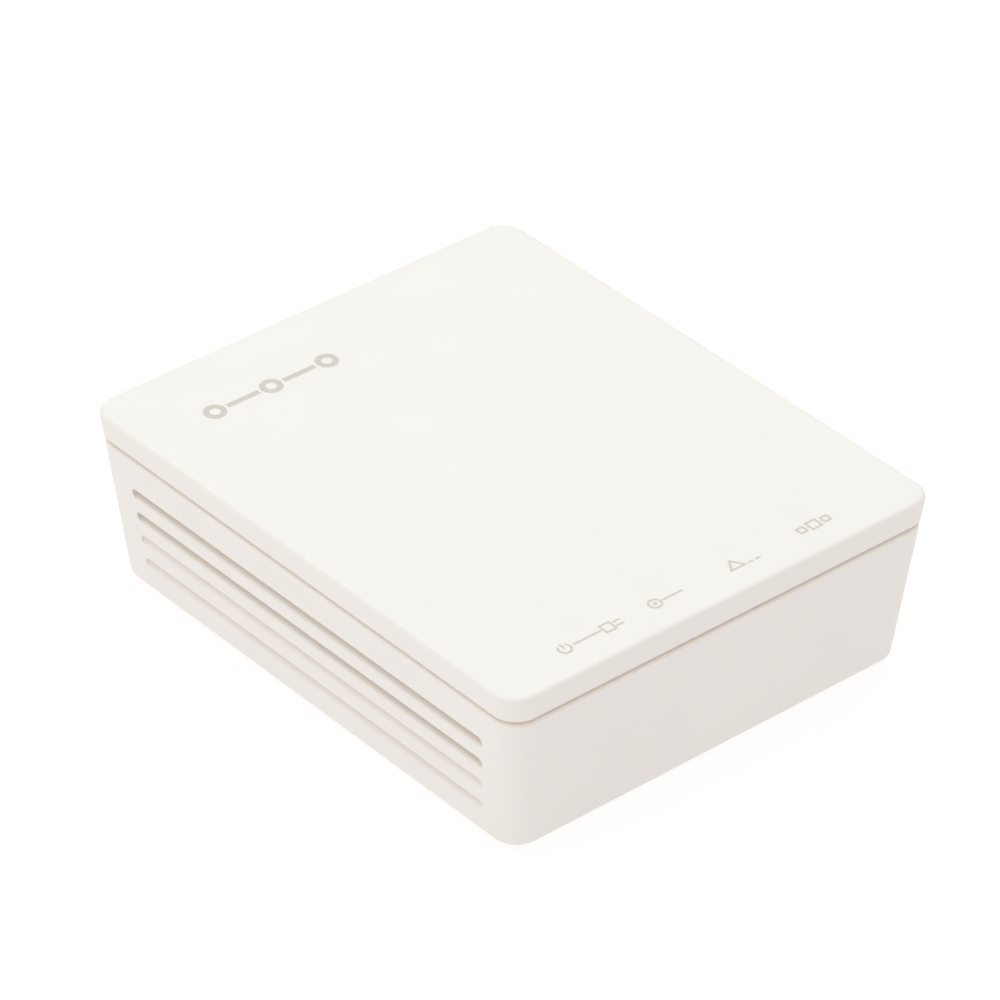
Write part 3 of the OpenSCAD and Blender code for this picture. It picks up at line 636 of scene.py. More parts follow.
def thermal_silicone():
    """Filled silicone pad: soft blue-grey, faintly tacky."""
    return plastic("filled silicone pad", "#8FA3B5", "#9CAFC0", (0.6, 0.75), 0.5 * MM, 0.02 * MM, 1.43)


def socket_plastic():
    """Glass-filled PBT, black: satin, with the short fibres just breaking the skin."""
    return plastic("glass-filled PBT, black", "#1D1D1F", "#252527", (0.36, 0.5), 0.25 * MM, 0.006 * MM, 1.57)


def adapter_plastic():
    """PBT, blue: satin and evenly coloured."""
    rgb = colours().adapter
    return plastic("PBT, blue", shade(rgb, 0.92), shade(rgb, 1.05), (0.34, 0.46), 0.25 * MM, 0.005 * MM, 1.57)


def natural_acetal():
    """Natural acetal: milky white and waxy."""
    return plastic(
        "acetal, natural", "#E6E6E0", "#EEEEE9", (0.35, 0.45), 0.3 * MM, 0.004 * MM, 1.48,
        Subsurface_Weight=0.2, Subsurface_Scale=0.8 * MM,
    )


def zirconia():
    """Ground zirconia: white, hard and glossy."""
    return plastic("zirconia ceramic", "#EDEDE7", "#F4F4F0", (0.1, 0.18), 0.15 * MM, 0.001 * MM, 2.1)


def button_plastic():
    """ABS, pale grey: satin, worn a little smoother where fingers press it."""
    rgb = colours().button
    return plastic(
        "ABS moulding, pale grey", shade(rgb, 0.97), shade(rgb, 1.03), (0.36, 0.5), 0.3 * MM, 0.005 * MM, 1.53
    )


def lamp_resin():
    """Clear epoxy lens over yellow phosphor: glossy and creamy."""
    return plastic(
        "clear epoxy lens", "#EFE9C4", "#F6F1D6", (0.1, 0.16), 0.4 * MM, 0.002 * MM, 1.54, Coat_Weight=0.5
    )


def clear_acrylic():
    """Clear acrylic light guide: see-through, with a fine frosting where it was moulded."""
    return plastic(
        "clear acrylic", "#E9F2F4", "#F2F7F8", (0.05, 0.14), 0.6 * MM, 0.002 * MM, 1.49,
        Transmission_Weight=0.92,
    )


FINISHES = {
    "cover_white": cover_plastic,
    "case_white": base_plastic,
    "print": pad_ink,
    "label_film": label_film,
    "foot_rubber": foot_rubber,
    "board_laminate": laminate,
    "plated_steel": zinc_steel,
    "chip_black": chip_resin,
    "pad_silicone": thermal_silicone,
    "sink_aluminium": sink_aluminium,
    "can_steel": can_steel,
    "ferrite_grey": ferrite,
    "capacitor_can": can_aluminium,
    "tinned_lead": tin,
    "socket_black": socket_plastic,
    "gold_contact": gold,
    "socket_blue": adapter_plastic,
    "inner_white": natural_acetal,
    "sleeve_ceramic": zirconia,
    "nickel_pin": nickel,
    "button_grey": button_plastic,
    "lamp_lens": lamp_resin,
    "guide_clear": clear_acrylic,
}
made_finishes = {}


def finish(slot):
    """The material of a slot, made when it is first asked for."""
    if slot not in made_finishes:
        made_finishes[slot] = FINISHES[slot]()
    return made_finishes[slot]


# ---------------------------------------------------------------- the case's shape

HOOK_IN = 17.5 * MM  # from the front and rear faces to the middle of each snap hook
CATCH_DROP = 2.6 * MM  # from the seam down to the catches that hold the hooks
LAMPS = ["lamp_power", "lamp_line", "lamp_alarm", "lamp_network"]
FEET = ["foot_front_left", "foot_front_right", "foot_rear_left", "foot_rear_right"]


def case():
    return bpy.context.scene.terminal_case


def colours():
    return bpy.context.scene.terminal_colours


def heights():
    """Heights of the case's levels, from the base's and the cover's boxes."""
    low, high = box("base_shell")
    seam_bottom = high.z - case().tongue
    return {
        "foot": low.z,
        "floor": low.z + case().wall,
        "seam_bottom": seam_bottom,
        "seam_top": seam_bottom + case().seam,
        "tongue": high.z,
        "ceiling": cad_high.z - case().wall,
        "side_top": cad_high.z - case().top_edge,
    }


def half(z, inset=0.0):
    """Half of the case's width and depth at a height."""
    back = case().lean * max(0.0, heights()["side_top"] - z) + inset
    return cad_high.x - back, cad_high.y - back


def level(z, inset=0.0):
    """Ring round the case at a height, set in from its outside."""
    x, y = half(z, inset)
    return upright(outline(2 * x, 2 * y, max(case().corner - inset, 0.5 * MM)), z)


def middle_of(node):
    low, high = box(node)
    return (low + high) / 2


def panel():
    """The rear panel: its face, its back, its sides and its lower and upper edges."""
    face = box("lan_socket")[1].y + 0.3 * MM
    low = box("main_board")[0].z - 2.5 * MM
    high = box("lan_socket")[1].z + 0.8 * MM
    side = half(low)[0] - case().corner - 0.3 * MM
    return {"face": face, "back": face - case().wall, "side": side, "low": low, "high": high}


# ---------------------------------------------------------------- operators


class TERMINAL_OT_stage(bpy.types.Operator):
    """Pale lit table, soft lights and the camera"""

    bl_idname = "terminal.stage"
    bl_label = "Studio"

    def execute(self, context):
        studio = context.scene.terminal_studio
        context.scene.view_settings.view_transform = "Standard"
        self.table(studio)
        self.room(studio)
        middle = (cad_low + cad_high) / 2
        self.softbox("overhead softbox", studio.overhead, studio.overhead_tint, (0.08, 0.15, 0.8), 1.4, middle)
        self.softbox("left softbox", studio.left, studio.left_tint, (-0.9, 0.0, 0.3), 0.6, middle)
        self.camera(studio, middle)
        return {"FINISHED"}

    def table(self, studio):
        """Opal acrylic sheet lit from below: matt, and faintly warm."""
        mesh = bmesh.new()
        side = 3.0  # metres, so that its edge stays out of view
        corners = [(-side, -side), (side, -side), (side, side), (-side, side)]
        mesh.faces.new([mesh.verts.new((*corner, cad_low.z)) for corner in corners])
        sheet = as_object("table", mesh)
        material, tree, shader, spot = begin(
            "opal acrylic sheet", IOR=1.49, Roughness=0.7, Specular_IOR_Level=0.0, Emission_Strength=studio.table,
            Emission_Color=(*studio.table_tint, 1),
        )
        tree.links.new(drift(tree, spot, 400 * MM, linear("#81807F"), linear("#838281")), shader.inputs["Base Color"])
        sheet.data.materials.append(material)

    def room(self, studio):
        world = bpy.data.worlds.new("white room")
        bpy.context.scene.world = world
        world.use_nodes = True
        light = world.node_tree.nodes["Background"]
        light.inputs["Color"].default_value = (*studio.sky_tint, 1)
        light.inputs["Strength"].default_value = studio.sky

    def softbox(self, name, power, tint, place, size, aim):
        data = bpy.data.lights.new(name, "AREA")
        data.energy = power
        data.size = size
        data.color = tint
        lamp = bpy.data.objects.new(name, data)
        lamp.location = place
        lamp.rotation_mode = "QUATERNION"
        lamp.rotation_quaternion = (Vector(place) - aim).to_track_quat("Z", "Y")
        bpy.context.scene.collection.objects.link(lamp)

    def camera(self, studio, middle):
        turn, rise, roll = studio.azimuth, studio.elevation, studio.roll
        back = Vector((sin(turn) * cos(rise), -cos(turn) * cos(rise), sin(rise)))
        right = Vector((cos(turn), sin(turn), 0))
        up = back.cross(right)
        across = right * cos(roll) + up * sin(roll)
        upward = up * cos(roll) - right * sin(roll)
        data = bpy.data.cameras.new("camera")
        data.sensor_width = 36
        data.lens = studio.focal
        data.clip_start = 0.05
        camera = bpy.data.objects.new("camera", data)
        turned = Matrix((across, upward, back)).transposed().to_4x4()
        aim = middle + Vector((studio.aim_right, studio.aim_back, 0))
        camera.matrix_world = Matrix.Translation(aim + back * studio.distance) @ turned
        bpy.context.scene.collection.objects.link(camera)
        bpy.context.scene.camera = camera


class TERMINAL_OT_cover(bpy.types.Operator):
    """Top cover: a shallow shell with light pockets and four snap hooks"""

    bl_idname = "terminal.cover"
    bl_label = "Cover"

    def execute(self, context):
        at, sizes = heights(), case()
        skin = context.scene.terminal_prints.ink
        lip_in = (sizes.wall - sizes.tongue_gap) / 2
        step = at["tongue"] + sizes.tongue_gap
        rings = [level(at["ceiling"], sizes.wall), level(step, sizes.wall), level(step, lip_in)]
        rings.append(level(at["seam_top"], lip_in))
        ease, edge = sizes.cover_ease, sizes.top_edge
        rings += [level(at["seam_top"] + ease - y, ease - x) for x, y in arc(ease, pi / 2, 0, 4)]
        rings += [
            level(min(at["side_top"] + y, cad_high.z - skin), edge - x) for x, y in arc(edge, 0, pi / 2, 12)
        ]
        mesh = bmesh.new()
        loft(mesh, rings)
        shell = as_object("cover_shell", mesh)
        pockets = bmesh.new()
        pocket_r = 1.75 * MM
        top = box("light_guide")[1].z + 0.2 * MM
        for lamp in LAMPS:
            middle = middle_of(lamp)
            lathe(pockets, [(pocket_r, at["seam_top"]), (pocket_r, top)], (middle.x, middle.y, 0), steps=32)
        carve(shell, pockets)
        hooks = bmesh.new()
        for side in (-1, 1):
            for end in (-1, 1):
                self.hook(hooks, side, end * (cad_high.y - HOOK_IN), at)
        carve(shell, hooks, "UNION")
        dress(shell, "cover_white", stands_for=["top_cover"])
        return {"FINISHED"}

    def hook(self, mesh, side, y, at):
        """One snap hook: an arm down from the ceiling with a nose that points outwards."""
        width, thick, nose = 8 * MM, 1.2 * MM, 0.9 * MM
        arm_gap, nose_gap, under = 1.15 * MM, 0.2 * MM, 0.15 * MM  # arm to wall, nose to wall, nose to catch
        low = at["seam_bottom"] - 4.4 * MM
        catch = at["seam_bottom"] - CATCH_DROP
        face = half(catch)[0] - case().wall - arm_gap
        tip = half(low)[0] - case().wall - nose_gap
        root = at["ceiling"] + 0.5 * MM
        side_view = [
            (face - thick, root), (face - thick, low), (face, low), (tip, low + nose),
            (tip, catch - under), (face, catch - under), (face, root),
        ]
        loft(mesh, [[Vector((side * x, y + end * width / 2, z)) for x, z in side_view] for end in (-1, 1)])


class TERMINAL_OT_base(bpy.types.Operator):
    """Base: a leaning tub with side grooves, a recessed rear panel, board posts and an underside"""

    bl_idname = "terminal.base"
    bl_label = "Base"

    def execute(self, context):
        at, sizes = heights(), case()
        tub = as_object("base_tub", self.outside(at, sizes))
        inside = as_object("inside", self.inside(at, sizes))
        carve(inside, self.kept_inside(at))
        hollow = bmesh.new()
        hollow.from_mesh(inside.data)
        bpy.data.meshes.remove(inside.data)
        carve(tub, hollow)
        carve(tub, self.recesses(context, at, sizes))
        carve(tub, self.panel_openings(sizes))
        carve(tub, self.catches(at, sizes), "UNION")
        dress(tub, "case_white", stands_for=["base_shell"])
        return {"FINISHED"}

    def outside(self, at, sizes):
        foot, ease = sizes.foot_edge, sizes.shoulder
        shelf_in = (sizes.wall + sizes.tongue_gap) / 2
        rings = [level(at["foot"] + foot - y, foot - x) for x, y in arc(foot, pi / 2, 0, 8)]
        rings += [level(at["seam_bottom"] - ease + y, ease - x) for x, y in arc(ease, 0, pi / 2, 8)]
        rings += [level(at["seam_bottom"], shelf_in)]
        rings += [level(at["tongue"] - 0.2 * MM, shelf_in), level(at["tongue"], shelf_in + 0.2 * MM)]
        mesh = bmesh.new()
        loft(mesh, rings)
        return mesh

    def inside(self, at, sizes):
        rings = [level(at["floor"], sizes.wall + 0.5 * MM), level(at["floor"] + 0.5 * MM, sizes.wall)]
        rings += [level(at["tongue"] + OVER, sizes.wall)]
        mesh = bmesh.new()
        loft(mesh, rings)
        return mesh

    def kept_inside(self, at):
        """What the hollow leaves standing: the backing of the rear panel, and the four board posts."""
        rear, mesh = panel(), bmesh.new()
        width = 2 * (rear["side"] + case().wall)
        top = rear["high"] + case().wall
        depth = 10 * MM
        points = outline(width, depth, 0.3 * MM, (0, rear["back"] + depth / 2), steps=3)
        slab(mesh, points, at["floor"] - OVER, top)
        board_low = box("main_board")[0]
        foot_r, top_r = 3.25 * MM, 3 * MM
        for x, y in self.posts():
            lathe(mesh, [(foot_r, at["floor"] - OVER), (top_r, board_low.z)], (x, y, 0), steps=40)
        return mesh

    def posts(self):
        low, high = box("board_screws")
        head = 2.3 * MM  # radius of a screw head
        return [(x, y) for x in (low.x + head, high.x - head) for y in (low.y + head, high.y - head)]

    def recesses(self, context, at, sizes):
        """Cuts that open on the outside and stay clear of each other."""
        mesh = bmesh.new()
        self.grooves(mesh, context.scene.terminal_grooves, at)
        self.panel_recess(mesh, sizes)
        self.underside(mesh, at, sizes)
        board, pilot_r, pilot_depth = box("main_board")[0].z, 1.25 * MM, 4 * MM
        for x, y in self.posts():
            lathe(mesh, [(pilot_r, board - pilot_depth), (pilot_r, board + OVER)], (x, y, 0), steps=24)
        return mesh

    def grooves(self, mesh, groove, at):
        """Four long louvres in each side. Each floor slopes up and inwards; the upper two reach the inside."""
        for side in (-1, 1):
            for row in range(4):
                z = at["seam_top"] - groove.drop - groove.height / 2 - row * groove.pitch
                depth = groove.open_depth if row < 2 else groove.depth
                self.louvre(mesh, groove, side, z, depth)

    def louvre(self, mesh, groove, side, z, depth):
        """Cutting solid for one louvre: a slot outline whose lower edge climbs as it goes in."""
        radius, blend, lip = groove.height / 2, groove.lower_lip, groove.upper_lip
        y0, y1 = groove.front - half(z)[1] + radius, half(z)[1] - groove.rear - radius
        slot = outline(y1 - y0 + groove.height, groove.height, radius, ((y0 + y1) / 2, z))
        away = 0.07 * MM  # the cut's lower edge ends this far outside the side
        floor = [
            Vector((depth * 0.96, z + radius * 0.92)),
            Vector((0, z - radius)),
            Vector((-away, z - radius - 2 * blend)),
        ]
        rings = []
        for inwards, low in rounded(floor, blend, steps=10) + [Vector((-OVER, floor[-1].y))]:
            rise = 0 if inwards > lip else lip - min(inwards, 0)
            if 0 < inwards <= lip:
                rise -= max(0, lip**2 - (lip - inwards) ** 2) ** 0.5
            fall = max(0, z - radius - low)
            ring = []
            for point in slot:
                core = min(max(point.x, y0), y1)
                out = (point - Vector((core, z))) / radius
                y = point.x + out.x * (rise + fall) / 2
                height = point.y + out.y * (rise if out.y > 0 else fall)
                if height < low:
                    height = low
                    reach = max(0, radius**2 - (low - z) ** 2) ** 0.5 if low > z - radius else radius
                    y = core + max(-reach, min(reach, point.x - core))
                ring.append(Vector((side * (half(height)[0] - inwards), y, height)))
            rings.append(ring)
        loft(mesh, rings)

    def panel_recess(self, mesh, sizes):
        """Recess with an upright floor in the leaning rear face."""
        rear = panel()
        width, height = 2 * rear["side"], rear["high"] - rear["low"]
        middle = (0, (rear["low"] + rear["high"]) / 2)
        lip = sizes.lip

        def ring(grow, away=None):
            points = outline(width + 2 * grow, height + 2 * grow, 1.5 * MM + grow, middle, steps=8)
            if away is None:
                return [Vector((x, rear["face"], z)) for x, z in points]
            return [Vector((x, half(z)[1] - away, z)) for x, z in points]

        rings = [ring(0)] + [ring(lip - x, lip * (1 - y)) for x, y in arc(lip, 0, radians(78))]
        flare = lip * (1 - cos(radians(78))) + 0.25 * MM
        rings += [ring(flare, -0.06 * MM), ring(flare, -OVER)]
        loft(mesh, rings)

    def underside(self, mesh, at, sizes):
        foot = at["foot"]

        def place(x, y, away):
            return Vector((x, y, foot + away))

        def cut(shape, depth, lip=sizes.lip):
            opening(mesh, shape, place, depth, lip)

        through = case().wall + OVER
        for name in FEET:
            low, high = box(name)
            spot, reach = (low + high) / 2, (high.x - low.x) / 2 + 0.1 * MM
            cut(
                lambda grow, spot=spot, reach=reach: outline(
                    2 * (reach + grow), 2 * (reach + grow), reach + grow, spot.xy, steps=12
                ),
                high.z - foot,
            )
        low, high = box("rating_label")
        spot, gap = (low + high) / 2, 0.15 * MM
        cut(
            lambda grow: outline(
                high.x - low.x + 2 * (gap + grow), high.y - low.y + 2 * (gap + grow), 1.2 * MM + grow, spot.xy
            ),
            0.2 * MM, 0.1 * MM,
        )
        keyholes = next(m for m in frame["record"]["mounts"] if m["name"] == "wall_keyholes")
        pitch = keyholes["dims"]["spacing_x_mm"] * MM
        centre_y = keyholes["pos_m"][1]
        for side in (-1, 1):
            cut(lambda grow, side=side: self.keyhole(side * pitch / 2, centre_y, grow), through)
        vents, vent_pitch, vent_r, vent_l = 7, 5 * MM, 1 * MM, 16 * MM
        vent_y = centre_y + 3.5 * MM + 3.5 * MM + vent_l / 2 + vent_r
        for i in range(vents):
            x = (i - (vents - 1) / 2) * vent_pitch
            cut(
                lambda grow, x=x: outline(
                    2 * (vent_r + grow), vent_l + 2 * (vent_r + grow), vent_r + grow, (x, vent_y), steps=8
                ),
                through,
            )

    def keyhole(self, x, y, grow):
        """Round entry with a narrower slot from it towards the front."""
        entry, slot_r, slot = 3.5 * MM + grow, 1.9 * MM + grow, 6 * MM
        meet = asin(slot_r / entry)
        points = [
            Vector((x + entry * cos(a), y + entry * sin(a)))
            for a in (-pi / 2 + meet + (2 * pi - 2 * meet) * i / 32 for i in range(33))
        ]
        points += [
            Vector((x + slot_r * cos(a), y - slot + slot_r * sin(a))) for a in (pi + pi * i / 16 for i in range(17))
        ]
        return points

    def panel_openings(self, sizes):
        """Openings in the rear panel for the three sockets, the button and the reset pin."""
        rear, mesh = panel(), bmesh.new()
        gap = 0.15 * MM

        def place(x, z, away):
            return Vector((x, rear["face"] - away, z))

        holes = []
        for name in ("lan_socket", "optical_housing", "power_jack"):
            low, high = box(name)
            holes.append((middle_of(name), high.x - low.x + 2 * gap, high.z - low.z + 2 * gap, 0.3 * MM, 5))
        for name, radius in (("power_button", self.button_hole()), ("reset_plunger", 1 * MM)):
            holes.append((middle_of(name), 2 * radius, 2 * radius, radius, 10))
        for middle, wide, tall, corner, steps in holes:
            opening(
                mesh,
                lambda grow: outline(wide + 2 * grow, tall + 2 * grow, corner + grow, (middle.x, middle.z), steps),
                place, sizes.wall + OVER, sizes.lip,
            )
        return mesh

    def button_hole(self):
        low, high = box("power_button")
        return (high.x - low.x) / 2 - 0.8 * MM + 0.3 * MM

    def catches(self, at, sizes):
        """Four ledges that hold the cover's hooks."""
        mesh = bmesh.new()
        low, out, reach = at["seam_bottom"] - CATCH_DROP, 1 * MM, 4.5 * MM
        for side in (-1, 1):
            for end in (-1, 1):
                wall_x = half(low)[0] - sizes.wall
                y = end * (cad_high.y - HOOK_IN)
                left, right = sorted((side * (wall_x - out), side * (wall_x + out)))
                eased_block(mesh, (left, y - reach, low), (right, y + reach, low + out), 0.2 * MM, 0.1 * MM)
        return mesh


class TERMINAL_OT_prints(bpy.types.Operator):
    """Printed marks: a plain linked-ring mark at the rear left and a sign in front of each light"""

    bl_idname = "terminal.prints"
    bl_label = "Prints"

    def execute(self, context):
        prints = context.scene.terminal_prints
        self.high = cad_high.z
        self.low = cad_high.z - 2 * prints.ink
        self.mark(prints)
        self.signs(prints)
        return {"FINISHED"}

    def bar(self, mesh, x0, y0, x1, y1, width, round_ends=True):
        """Straight stroke from one point to another."""
        start, end = Vector((x0, y0)), Vector((x1, y1))
        along = (end - start).normalized()
        across = Vector((-along.y, along.x))
        points = []
        for centre, turn in ((end, -pi / 2), (start, pi / 2)):
            steps = 8 if round_ends else 1
            for i in range(steps + 1):
                angle = turn + pi * i / steps
                reach = width / 2
                points.append(centre + along * reach * cos(angle) * round_ends + across * reach * sin(angle))
        slab(mesh, points, self.low, self.high)

    def ring(self, mesh, x, y, radius, width, start=0.0, sweep=2 * pi):
        """Ring or arc stroke about a point."""
        steps = max(8, round(40 * sweep / (2 * pi)))
        angles = [start + sweep * i / steps for i in range(steps + 1)]
        loops = []
        for reach in (radius + width / 2, radius - width / 2):
            loops.append([Vector((x + reach * cos(a), y + reach * sin(a))) for a in angles])
        outer, inner = loops
        if sweep < 2 * pi:
            slab(mesh, outer + inner[::-1], self.low, self.high)
            return
        hoop(mesh, outer[:-1], inner[:-1], self.low, self.high)

    def mark(self, prints):
        """Three rings joined by two thick bars."""
        mesh = bmesh.new()
        y, gap = cad_high.y - prints.mark_in, 0.5 * MM
        weight = 0.26 * prints.mark_height
        radius = (prints.mark_height - weight) / 2
        outer = prints.mark_height / 2
        first = prints.mark_left + outer
        last = prints.mark_left + prints.mark_length - outer
        centres = [first, (first + last) / 2, last]
        for x in centres:
            self.ring(mesh, x, y, radius, weight)
        for left, right in zip(centres, centres[1:]):
            self.bar(mesh, left + outer + gap, y, right - outer - gap, y, weight, round_ends=False)
        dress(as_object("linked_ring_mark", mesh), "print")

    def band(self, mesh, corners, width):
        """Closed stroke round a many-sided shape, given anticlockwise."""
        loops = []
        for reach in (width / 2, -width / 2):
            loop = []
            for before, corner, after in zip(corners[-1:] + corners, corners, corners[1:] + corners[:1]):
                first, second = (corner - before).normalized(), (after - corner).normalized()
                outwards = Vector((first.y + second.y, -first.x - second.x)).normalized()
                loop.append(corner + outwards * reach / outwards.dot(Vector((first.y, -first.x))))
            loops.append(loop)
        hoop(mesh, *loops, self.low, self.high)

    def boxed(self, mesh, x, y, width, height, pen):
        """Outline of a rectangle about a point."""
        corners = [Vector((x + i * width / 2, y + j * height / 2)) for i, j in ((-1, -1), (1, -1), (1, 1), (-1, 1))]
        self.band(mesh, corners, pen)

    def signs(self, prints):
        """A sign in front of each light: power, line, alarm and network. No stroke touches another."""
        mesh = bmesh.new()
        y, tall, pen = cad_low.y + prints.sign_in, prints.sign_height, prints.stroke
        reach = (tall - pen) / 2
        self.power(mesh, -21.5 * MM, y, reach, pen)
        self.line(mesh, -7.15 * MM, y, reach, pen)
        self.alarm(mesh, 7.3 * MM, y, reach, pen)
        self.network(mesh, 21.65 * MM, y, pen)
        dress(as_object("light_signs", mesh), "print")

    def power(self, mesh, x, y, reach, pen):
        """Open ring with an upright stroke, and a cord from it to a plug with two pins."""
        left, plug = x - 4.8 * MM, x + 3.3 * MM
        self.ring(mesh, left, y, reach, pen, radians(125), radians(290))
        self.bar(mesh, left, y + 0.2 * MM, left, y + reach + 0.1 * MM, pen)
        self.bar(mesh, left + reach + 0.7 * MM, y, plug - 1.4 * MM, y, pen)
        self.boxed(mesh, plug, y, 1.8 * MM, 1.8 * MM, pen)
        for side in (-1, 1):
            self.bar(mesh, plug + 1.4 * MM, y + side * 0.5 * MM, plug + 2.5 * MM, y + side * 0.5 * MM, pen)

    def line(self, mesh, x, y, reach, pen):
        """A fibre's end, with its core, and a line that leads out of it."""
        left = x - 2.05 * MM
        self.ring(mesh, left, y, reach, pen)
        self.ring(mesh, left, y, 0.22 * MM, 0.3 * MM)
        self.bar(mesh, left + reach + 0.5 * MM, y, x + 3.1 * MM, y, pen)

    def alarm(self, mesh, x, y, reach, pen):
        """A triangle, and a broken line beside it."""
        left, wide = x - 1.35 * MM, 1.3 * MM
        corners = [Vector((left - wide, y - reach)), Vector((left + wide, y - reach)), Vector((left, y + reach))]
        self.band(mesh, corners, pen)
        for start in (0.7, 2.1):
            self.bar(mesh, x + start * MM, y - reach, x + (start + 0.7) * MM, y - reach, pen)

    def network(self, mesh, x, y, pen):
        """Three boxes in a row with short links between them, the middle one larger."""
        for away, wide in ((-2.35, 1.2), (0, 1.8), (2.35, 1.2)):
            self.boxed(mesh, x + away * MM, y, wide * MM, wide * MM, pen)
        for side in (-1, 1):
            self.bar(mesh, x + side * 1.24 * MM, y, x + side * 1.4 * MM, y, pen * 0.5, round_ends=False)


class TERMINAL_OT_feet(bpy.types.Operator):
    """Four turned rubber feet and the blank rating label"""

    bl_idname = "terminal.feet"
    bl_label = "Feet and label"

    def execute(self, context):
        for name in FEET:
            low, high = box(name)
            middle, radius = (low + high) / 2, (high.x - low.x) / 2
            profile = [
                (radius, high.z), (radius, low.z), (radius - 1.0 * MM, low.z),
                (radius - 1.3 * MM, low.z + 0.12 * MM), (0.1 * MM, low.z + 0.12 * MM),
            ]
            mesh = bmesh.new()
            lathe(mesh, rounded(profile, 0.3 * MM), (middle.x, middle.y, 0))
            dress(as_object(name + "_pad", mesh), "foot_rubber", stands_for=[name])
        low, high = box("rating_label")
        mesh = bmesh.new()
        eased_block(mesh, low, high, 1 * MM, 0.03 * MM)
        dress(as_object("blank_label", mesh), "label_film", stands_for=["rating_label"])
        return {"FINISHED"}


class TERMINAL_OT_button(bpy.types.Operator):
    """Power button: a turned cap with a dished face and a flange behind the panel"""

    bl_idname = "terminal.button"
    bl_label = "Power button"

    def execute(self, context):
        low, high = box("power_button")
        middle, flange_r = (low + high) / 2, (high.x - low.x) / 2
        cap_r = flange_r - 0.8 * MM
        rim, flange_t, hollow_r, hollow = 0.9 * MM, 1 * MM, 1.5 * MM, 2.5 * MM
        dish_r, dish_depth = cap_r - 1 * MM, 0.35 * MM
        dish = [
            (cap_r - rim - dish_r * i / 6, high.y - dish_depth * (i / 6) ** 0.5) for i in range(1, 7)
        ]
        outside = rounded(
            [
                (flange_r, low.y), (flange_r, low.y + flange_t), (cap_r, low.y + flange_t), (cap_r, high.y),
                (cap_r - rim, high.y), *dish,
            ],
            0.35 * MM,
        )
        profile = [(0.05 * MM, low.y + hollow), (hollow_r, low.y + hollow), (hollow_r, low.y)] + outside
        mesh = bmesh.new()
        lathe(mesh, profile, (middle.x, 0, middle.z), "Y", steps=64)
        dress(as_object("button_cap", mesh), "button_grey", "power_button", ["power_button"])
        soften("switch_plunger", 0.1 * MM)
        return {"FINISHED"}


class TERMINAL_OT_sockets(bpy.types.Operator):
    """The three sockets in the rear panel and what is inside them"""

    bl_idname = "terminal.sockets"
    bl_label = "Sockets"

    def execute(self, context):
        soften_all({
            "lan_socket": 0.25, "optical_housing": 0.25, "power_jack": 0.2, "optical_latch": 0.1,
            "optical_receptacle": 0.12, "ferrule_sleeve": 0.06, "power_jack_pin": 0, "power_jack_spring": 0.05,
            "optics_block": 0.2, "laser_can": 0.15, "detector_can": 0.15,
        })
        self.wires()
        return {"FINISHED"}

    def wires(self):
        """Eight round spring wires, each bent at the mouth and leaning down towards the back."""
        low, high = box("lan_contacts")
        count, radius = 8, 0.18 * MM
        step = (high.x - low.x - 2 * radius) / (count - 1)
        mouth, bend, root = high.y - 0.6 * MM, high.y - 1.2 * MM, low.y + 0.2 * MM
        route = rounded(
            [(mouth, high.z - radius), (bend, high.z - radius), (root, low.z + radius)],
            0.8 * MM,
        )
        mesh = bmesh.new()
        for i in range(count):
            x = low.x + radius + i * step
            rings = []
            for index, point in enumerate(route):
                before, after = route[max(index - 1, 0)], route[min(index + 1, len(route) - 1)]
                along = (after - before).normalized()
                across = Vector((-along.y, along.x))
                ring = []
                for k in range(12):
                    angle = 2 * pi * k / 12
                    spot = point + across * radius * sin(angle)
                    ring.append(Vector((x + radius * cos(angle), spot.x, spot.y)))
                rings.append(ring)
            loft(mesh, rings)
        dress(as_object("spring_wires", mesh), "gold_contact", stands_for=["lan_contacts"])


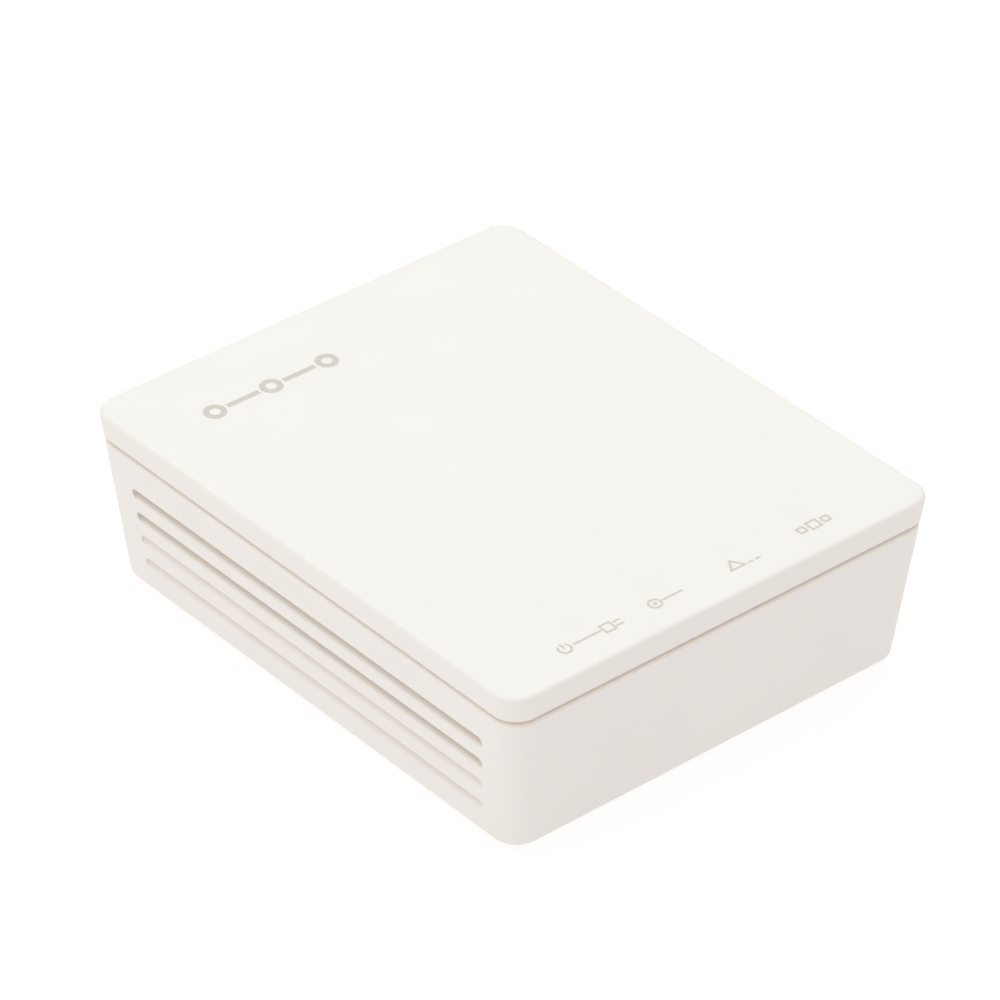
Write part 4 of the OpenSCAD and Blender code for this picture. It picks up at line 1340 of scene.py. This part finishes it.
class TERMINAL_OT_board(bpy.types.Operator):
    """The circuit board and everything on it"""

    bl_idname = "terminal.board"
    bl_label = "Board"

    def execute(self, context):
        soften_all({
            "main_board": 0.06, "board_screws": 0.12, "processor": 0.12, "thermal_pad": 0.12, "heat_sink": 0.1,
            "memory_chip": 0.1, "flash_chip": 0.12, "crystal": 0.12, "laser_driver": 0.08, "shield_can": 0.1,
            "line_transformer": 0.3, "regulator": 0.12, "power_inductor": 0.2, "input_capacitor": 0.15,
            "output_capacitor": 0.15, "chip_resistors": 0.05, "chip_leads": 0.03, "power_switch": 0.15,
            "reset_switch": 0.12, "reset_plunger": 0.15, "light_shroud": 0.15, "light_guide": 0.1,
        })
        soften_all(dict.fromkeys(LAMPS, 0.08))
        return {"FINISHED"}


class TERMINAL_PT_sidebar(bpy.types.Panel):
    """Sidebar of the terminal"""

    bl_idname = "TERMINAL_PT_sidebar"
    bl_label = "Terminal"
    bl_space_type = "VIEW_3D"
    bl_region_type = "UI"
    bl_category = "Terminal"

    def draw(self, context):
        for operator in OPERATORS:
            self.layout.operator(operator.bl_idname)
        for name in GROUPS:
            group = getattr(context.scene, name)
            block = self.layout.box()
            block.label(text=name.replace("_", " ").capitalize())
            for setting in group.__annotations__:
                block.prop(group, setting)


GROUPS = {
    "terminal_case": TerminalCase,
    "terminal_grooves": TerminalGrooves,
    "terminal_prints": TerminalPrints,
    "terminal_colours": TerminalColours,
    "terminal_studio": TerminalStudio,
}
OPERATORS = [
    TERMINAL_OT_stage,
    TERMINAL_OT_cover,
    TERMINAL_OT_base,
    TERMINAL_OT_prints,
    TERMINAL_OT_feet,
    TERMINAL_OT_button,
    TERMINAL_OT_sockets,
    TERMINAL_OT_board,
]


def register():
    for cls in (*GROUPS.values(), *OPERATORS, TERMINAL_PT_sidebar):
        bpy.utils.register_class(cls)
    for name, cls in GROUPS.items():
        setattr(bpy.types.Scene, name, PointerProperty(type=cls))


def unregister():
    for name in GROUPS:
        delattr(bpy.types.Scene, name)
    for cls in reversed((*GROUPS.values(), *OPERATORS, TERMINAL_PT_sidebar)):
        bpy.utils.unregister_class(cls)


def main():
    register()
    bpy.ops.terminal.stage()
    bpy.ops.terminal.cover()
    bpy.ops.terminal.base()
    bpy.ops.terminal.prints()
    bpy.ops.terminal.feet()
    bpy.ops.terminal.button()
    bpy.ops.terminal.sockets()
    bpy.ops.terminal.board()


if __name__ == "__main__":
    main()
